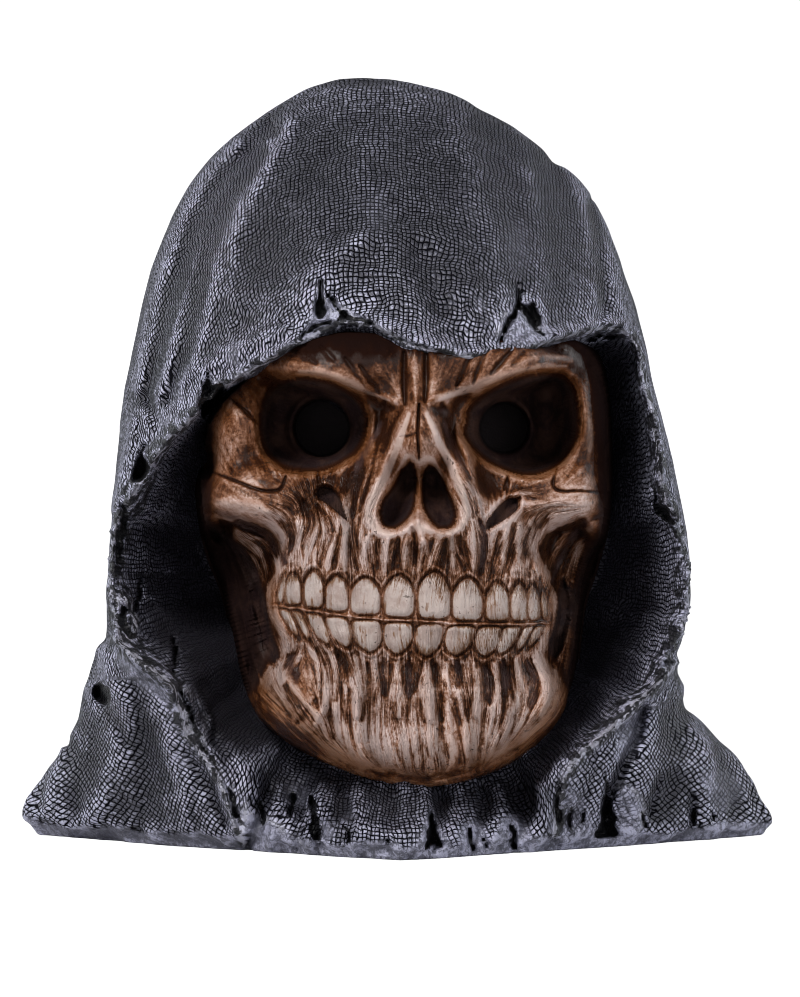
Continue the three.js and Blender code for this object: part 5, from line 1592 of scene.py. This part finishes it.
    # painted shade under the hood's edge and on the sides; darker towards the outline, as brown wash and as painted
    # shade where the bone turns away
    wash_and_shade = wash_and_shade + 1.0 * shade_top + 1.2 * side_shade + (0.95 - 0.35 * under) * np.exp(-((inn / 17.0) ** 1.6))
    chin = smooth(690, 735, Y)
    wash_and_shade = wash_and_shade + chin * (0.30 * np.exp(-((inn / 6.0) ** 2)) + 0.22 * np.exp(-((inn / 21.0) ** 4)))
    warm = np.maximum(warm, (0.75 + 0.25 * under) * np.exp(-((inn / (15.0 + 6.0 * chin)) ** 2)))
    side_shade = np.clip(side_shade + smooth(2.5, -0.5, line) * smooth(700, 660, Y), 0, 1.05)
    dark = dark + 0.90 * side_shade * (1 - 0.35 * smooth(0.15, 0.6, pale_and_highlight))
    fibre = even * (1 - np.clip(still, 0, 1)) * (1 - smooth(0.05, 0.5, side_shade)) * smooth(0.25, 0.7, zone) * quiet * (1 - 0.7 * t_mask) * smooth(-8, 4, line) + 0.25 * t_mask
    return S, y_all, line, dict(across=across / 4.43, along=Y / 4.43, fibre=np.clip(fibre, 0, 1), wash_and_shade=wash_and_shade, warm=warm, plum=plum * (1 - t_mask) * (0.4 + 0.6 * smooth(350, 392, Y)), pale_and_highlight=pale_and_highlight * (1 - a_in), black=black,
                                dark=np.clip(dark, 0, 1), tooth=t_mask, arch=arch, shade=np.clip(1.4 * shade_top + 1.3 * side_shade + smooth(572, 596, X) * smooth(520, 470, Y), 0, 1.4), bite=np.abs(Y - bite))


def drawn_pieces(names, cuts, got, keep, material, push=0.0):
    """The sheet's cells where keep holds, as meshes parted at the given heights."""
    S, y, line, maps = got
    y = y + push
    x, z = from_px(S.X, S.Y, y)
    cell = keep[:-1, :-1] & keep[1:, :-1] & keep[:-1, 1:] & keep[1:, 1:]
    ids = np.arange(S.X.size).reshape(S.X.shape)
    q = np.stack([ids[:-1, :-1], ids[1:, :-1], ids[1:, 1:], ids[:-1, 1:]], -1)[cell]
    verts = np.stack([x.ravel(), y.ravel(), z.ravel()], 1)
    attrs = {k: v.ravel() for k, v in maps.items() if k != "arch"}
    group = np.searchsorted(cuts, S.Y[:-1, :-1][cell])
    return cut_up(names, group, verts, q, attrs, material)


def bone_material():
    k = Nodes("painted_bone")
    xyz = k.coords()
    wash_and_shade, warm, plum, pale_and_highlight = (k.attr(n) for n in ("wash_and_shade", "warm", "plum", "pale_and_highlight"))
    dark, black, tooth = k.attr("dark"), k.attr("black"), k.attr("tooth")
    grain = k.noise(xyz, 1500.0, 3.0, 0.65)
    blot = k.noise(xyz, 160.0, 4.0, 0.65)
    big = k.noise(xyz, 42.0, 3.0, 0.6)
    mott = k.noise(xyz, 330.0, 6.0, 0.72)
    # fine dark lines that follow the fibres
    side, run, fibre = k.attr("across"), k.attr("along"), k.attr("fibre")
    thread = k.noise(k.vec(k.mul(side, 1.9), k.mul(run, 0.13), 0.0), 1.0, 2.0, 0.5)
    thread2 = k.noise(k.vec(k.mul(side, 3.6), k.mul(run, 0.24), 4.0), 1.0, 2.0, 0.5)
    lines = k.ramp(k.math("ABSOLUTE", k.sub(thread, 0.5)), 0.0, 0.030, 1.0, 0.0)
    lines2 = k.ramp(k.math("ABSOLUTE", k.sub(thread2, 0.5)), 0.0, 0.045, 1.0, 0.0)
    lines = k.mul(k.math("MAXIMUM", lines, k.mul(lines2, 0.7)), fibre)
    w = k.add(k.add(wash_and_shade, k.mul(k.sub(mott, 0.5), 2.6)), k.mul(k.sub(big, 0.5), 1.4))
    w = k.add(w, k.mul(lines, 0.80))
    w = k.add(w, k.mul(fibre, k.add(k.mul(k.sub(thread, 0.5), 2.0), k.mul(k.sub(thread2, 0.5), 2.4))))
    w = k.add(w, k.mul(dark, 1.3))
    w = k.add(w, k.mul(k.sub(blot, 0.5), 1.2))
    w = k.sub(w, k.mul(pale_and_highlight, 0.9))
    w = k.add(w, k.mul(k.sub(grain, 0.5), 2.6))
    high = k.mix(k.ramp(big, 0.35, 0.65), (0.64, 0.485, 0.445), (0.56, 0.405, 0.355))
    col = k.mix(k.ramp(w, -0.60, 0.15), high, (0.42, 0.262, 0.208))
    col = k.mix(k.ramp(w, 0.10, 0.80), col, (0.225, 0.098, 0.050))
    col = k.mix(k.ramp(w, 0.75, 1.35), col, (0.098, 0.034, 0.013))
    col = k.mix(k.ramp(w, 1.30, 2.10), col, (0.025, 0.008, 0.0035))
    # pale paint on the crests, partly a painted highlight
    col = k.mix(k.ramp(k.add(pale_and_highlight, k.mul(k.sub(blot, 0.5), 0.6)), 0.35, 1.0, 0.0, 0.7), col, (0.54, 0.41, 0.36))
    orange = k.mix(k.ramp(w, 0.2, 1.1), (0.30, 0.130, 0.055), (0.150, 0.050, 0.015))
    orange = k.mix(k.ramp(w, 1.1, 1.9), orange, (0.042, 0.012, 0.0035))
    col = k.mix(k.math("MINIMUM", k.mul(warm, 0.95), 0.92), col, orange)
    violet = k.mix(k.ramp(blot, 0.4, 0.62), (0.044, 0.024, 0.022), (0.095, 0.058, 0.056))
    col = k.mix(k.mul(k.ramp(k.add(plum, k.mul(k.sub(blot, 0.5), 0.9)), 0.25, 0.95), 0.6), col, violet)
    # teeth
    ivory = k.mix(k.ramp(blot, 0.38, 0.62), (0.465, 0.38, 0.345), (0.34, 0.255, 0.225))
    tw = k.add(k.add(k.mul(wash_and_shade, 1.0), k.mul(k.sub(grain, 0.5), 0.5)), k.mul(lines, k.ramp(big, 0.45, 0.6, 0.2, 2.4)))
    ivory = k.mix(k.ramp(tw, 0.12, 0.62), ivory, (0.22, 0.12, 0.072))
    ivory = k.mix(k.ramp(tw, 0.60, 1.25), ivory, (0.085, 0.035, 0.016))
    col = k.mix(tooth, col, ivory)
    specks = k.noise(xyz, 620.0, 2.0, 0.7)
    patch = k.noise(xyz, 95.0, 2.0, 0.5)
    sp = k.mul(k.ramp(specks, 0.63, 0.69), k.ramp(patch, 0.42, 0.62))
    col = k.mix(k.mul(sp, 0.85), col, (0.030, 0.010, 0.004))
    # the insides of holes and the shaded sides: dark paint and painted shade
    deep = k.mix(k.ramp(blot, 0.4, 0.6), (0.022, 0.012, 0.012), (0.046, 0.024, 0.019))
    col = k.mix(k.ramp(dark, 0.12, 0.75), col, deep)
    col = k.mix(k.mul(k.attr("shade"), 0.6), col, (0.0085, 0.0046, 0.0044))
    col = k.mix(black, col, (0.022, 0.018, 0.019))
    k.link(col, k.bsdf.inputs["Base Color"])
    rough = k.add(k.ramp(w, 0.0, 1.2, 0.33, 0.30), k.mul(k.sub(grain, 0.5), 0.35))
    rough = k.add(k.sub(rough, k.mul(tooth, 0.10)), k.mul(dark, 0.4))
    dull = k.math("MAXIMUM", k.math("MAXIMUM", dark, k.attr("shade")), k.ramp(w, 0.5, 1.5, 0.0, 0.65))
    k.link(k.sub(0.56, k.mul(dull, 0.54)), k.bsdf.inputs["Specular IOR Level"])
    k.link(rough, k.bsdf.inputs["Roughness"])
    hgt = k.add(k.add(k.mul(grain, 0.5), k.mul(blot, 0.5)), k.mul(mott, 0.8))
    first = k.bump(hgt, 0.7, 0.0004)
    wave = k.add(k.mul(thread, 2.6), k.sub(k.mul(thread2, 1.4), k.mul(lines, 0.4)))
    k.link(k.bump(k.mul(wave, fibre), 1.0, 0.00036, first), k.bsdf.inputs["Normal"])
    return k.mat


def skull_pieces(material):
    face = face_sheet(192, 316, 616, 794, 0.96)
    keep = (face[2] > -5) & (face[3]["arch"] < 3.5)
    dip = 1.2 * smooth(-1.5, 3.0, face[3]["arch"])
    skull = drawn_pieces(["skull_upper", "skull_lower"], [548.0], face, keep, material, dip)
    row = face_sheet(260, 556, 562, 670, 0.72)
    dip = 0.9 * smooth(-2.0, -6.0, row[3]["arch"])
    return skull + drawn_pieces(["teeth"], [], row, row[3]["arch"] > -5.5, material, dip)


# -------------------------------------------------------------------- staging
def plain_material(name, colour, rough):
    k = Nodes(name)
    k.put(k.bsdf.inputs["Base Color"], colour)
    k.bsdf.inputs["Roughness"].default_value = rough
    return k.mat


def floor_material():
    """Pale paper that looks evenly white without lighting the object from below."""
    k = Nodes("pale_floor")
    k.put(k.bsdf.inputs["Base Color"], (0.62, 0.62, 0.63))
    k.bsdf.inputs["Roughness"].default_value = 0.9
    glow = k.n.new("ShaderNodeEmission")
    glow.inputs["Color"].default_value = (1.0, 1.0, 1.0, 1)
    glow.inputs["Strength"].default_value = 1.12
    path = k.n.new("ShaderNodeLightPath")
    both = k.n.new("ShaderNodeMixShader")
    k.link(k.mul(path.outputs["Is Camera Ray"], 0.90), both.inputs[0])
    k.link(k.bsdf.outputs[0], both.inputs[1])
    k.link(glow.outputs[0], both.inputs[2])
    k.link(both.outputs[0], k.n["Material Output"].inputs["Surface"])
    return k.mat


def light(name, at, target, energy, size, colour=(1, 1, 1)):
    d = bpy.data.lights.new(name, "AREA")
    d.shape = "RECTANGLE"
    d.energy, d.size, d.size_y, d.color = energy, size[0], size[1], colour
    o = bpy.data.objects.new(name, d)
    o.location = at
    o.rotation_euler = (Vector(target) - Vector(at)).to_track_quat("-Z", "Y").to_euler()
    bpy.context.scene.collection.objects.link(o)
    return o


def stage():
    cam = bpy.data.cameras.new("camera")
    co = bpy.data.objects.new("camera", cam)
    bpy.context.scene.collection.objects.link(co)
    co.location = tuple((c + s) / 1000 for c, s in zip(CAM, SHIFT))
    co.rotation_euler = (math.pi / 2, 0, 0)
    cam.sensor_fit = "AUTO"
    cam.sensor_width = 36
    cam.lens = 36 * SCALE * 1000 / 997
    cam.clip_start, cam.clip_end = 0.05, 30
    bpy.context.scene.camera = co
    # floor running up into a backdrop
    prof = [(-3.0, 0.0), (0.9, 0.0)] + [(0.9 + 0.8 * math.sin(a), 0.8 - 0.8 * math.cos(a)) for a in np.linspace(0.1, math.pi / 2, 12)] + [(1.7, 3.2)]
    verts = [(x, y, z) for y, z in prof for x in (-3.0, 3.0)]
    faces = [(2 * i, 2 * i + 1, 2 * i + 3, 2 * i + 2) for i in range(len(prof) - 1)]
    me = bpy.data.meshes.new("floor")
    me.from_pydata(verts, [], faces)
    for p in me.polygons:
        p.use_smooth = True
    me.materials.append(floor_material())
    fl = bpy.data.objects.new("floor", me)
    bpy.context.scene.collection.objects.link(fl)
    light("key", (-0.55, -1.0, 1.0), (0, 0, 0.08), 17.0, (0.4, 0.4), (1.0, 0.985, 0.97))
    light("fill", (0.95, -0.95, 0.4), (0, 0, 0.08), 4.2, (0.9, 0.9), (0.96, 0.98, 1.0))
    light("front", (0.05, -1.6, 0.14), (0, 0, 0.08), 2.2, (0.5, 0.5), (1.0, 0.98, 1.0))
    light("rim_left", (-0.8, 0.45, 0.45), (0, 0, 0.09), 4, (0.3, 0.9), (0.9, 0.95, 1.0))
    light("rim_right", (0.8, 0.4, 0.4), (0, 0, 0.09), 3.5, (0.3, 0.9), (0.9, 0.95, 1.0))
    bpy.context.scene.view_settings.view_transform = "Standard"
    bpy.context.scene.cycles.filter_width = 0.9
    w = bpy.data.worlds.new("studio")
    w.use_nodes = True
    w.node_tree.nodes["Background"].inputs[0].default_value = (1, 1, 1, 1)
    w.node_tree.nodes["Background"].inputs[1].default_value = 0.22
    bpy.context.scene.world = w


cloth = cloth_material()
for made in cowl_pieces(cloth) + skull_pieces(bone_material()):
    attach(made, "root")
    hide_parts("hooded_skull")
stage()
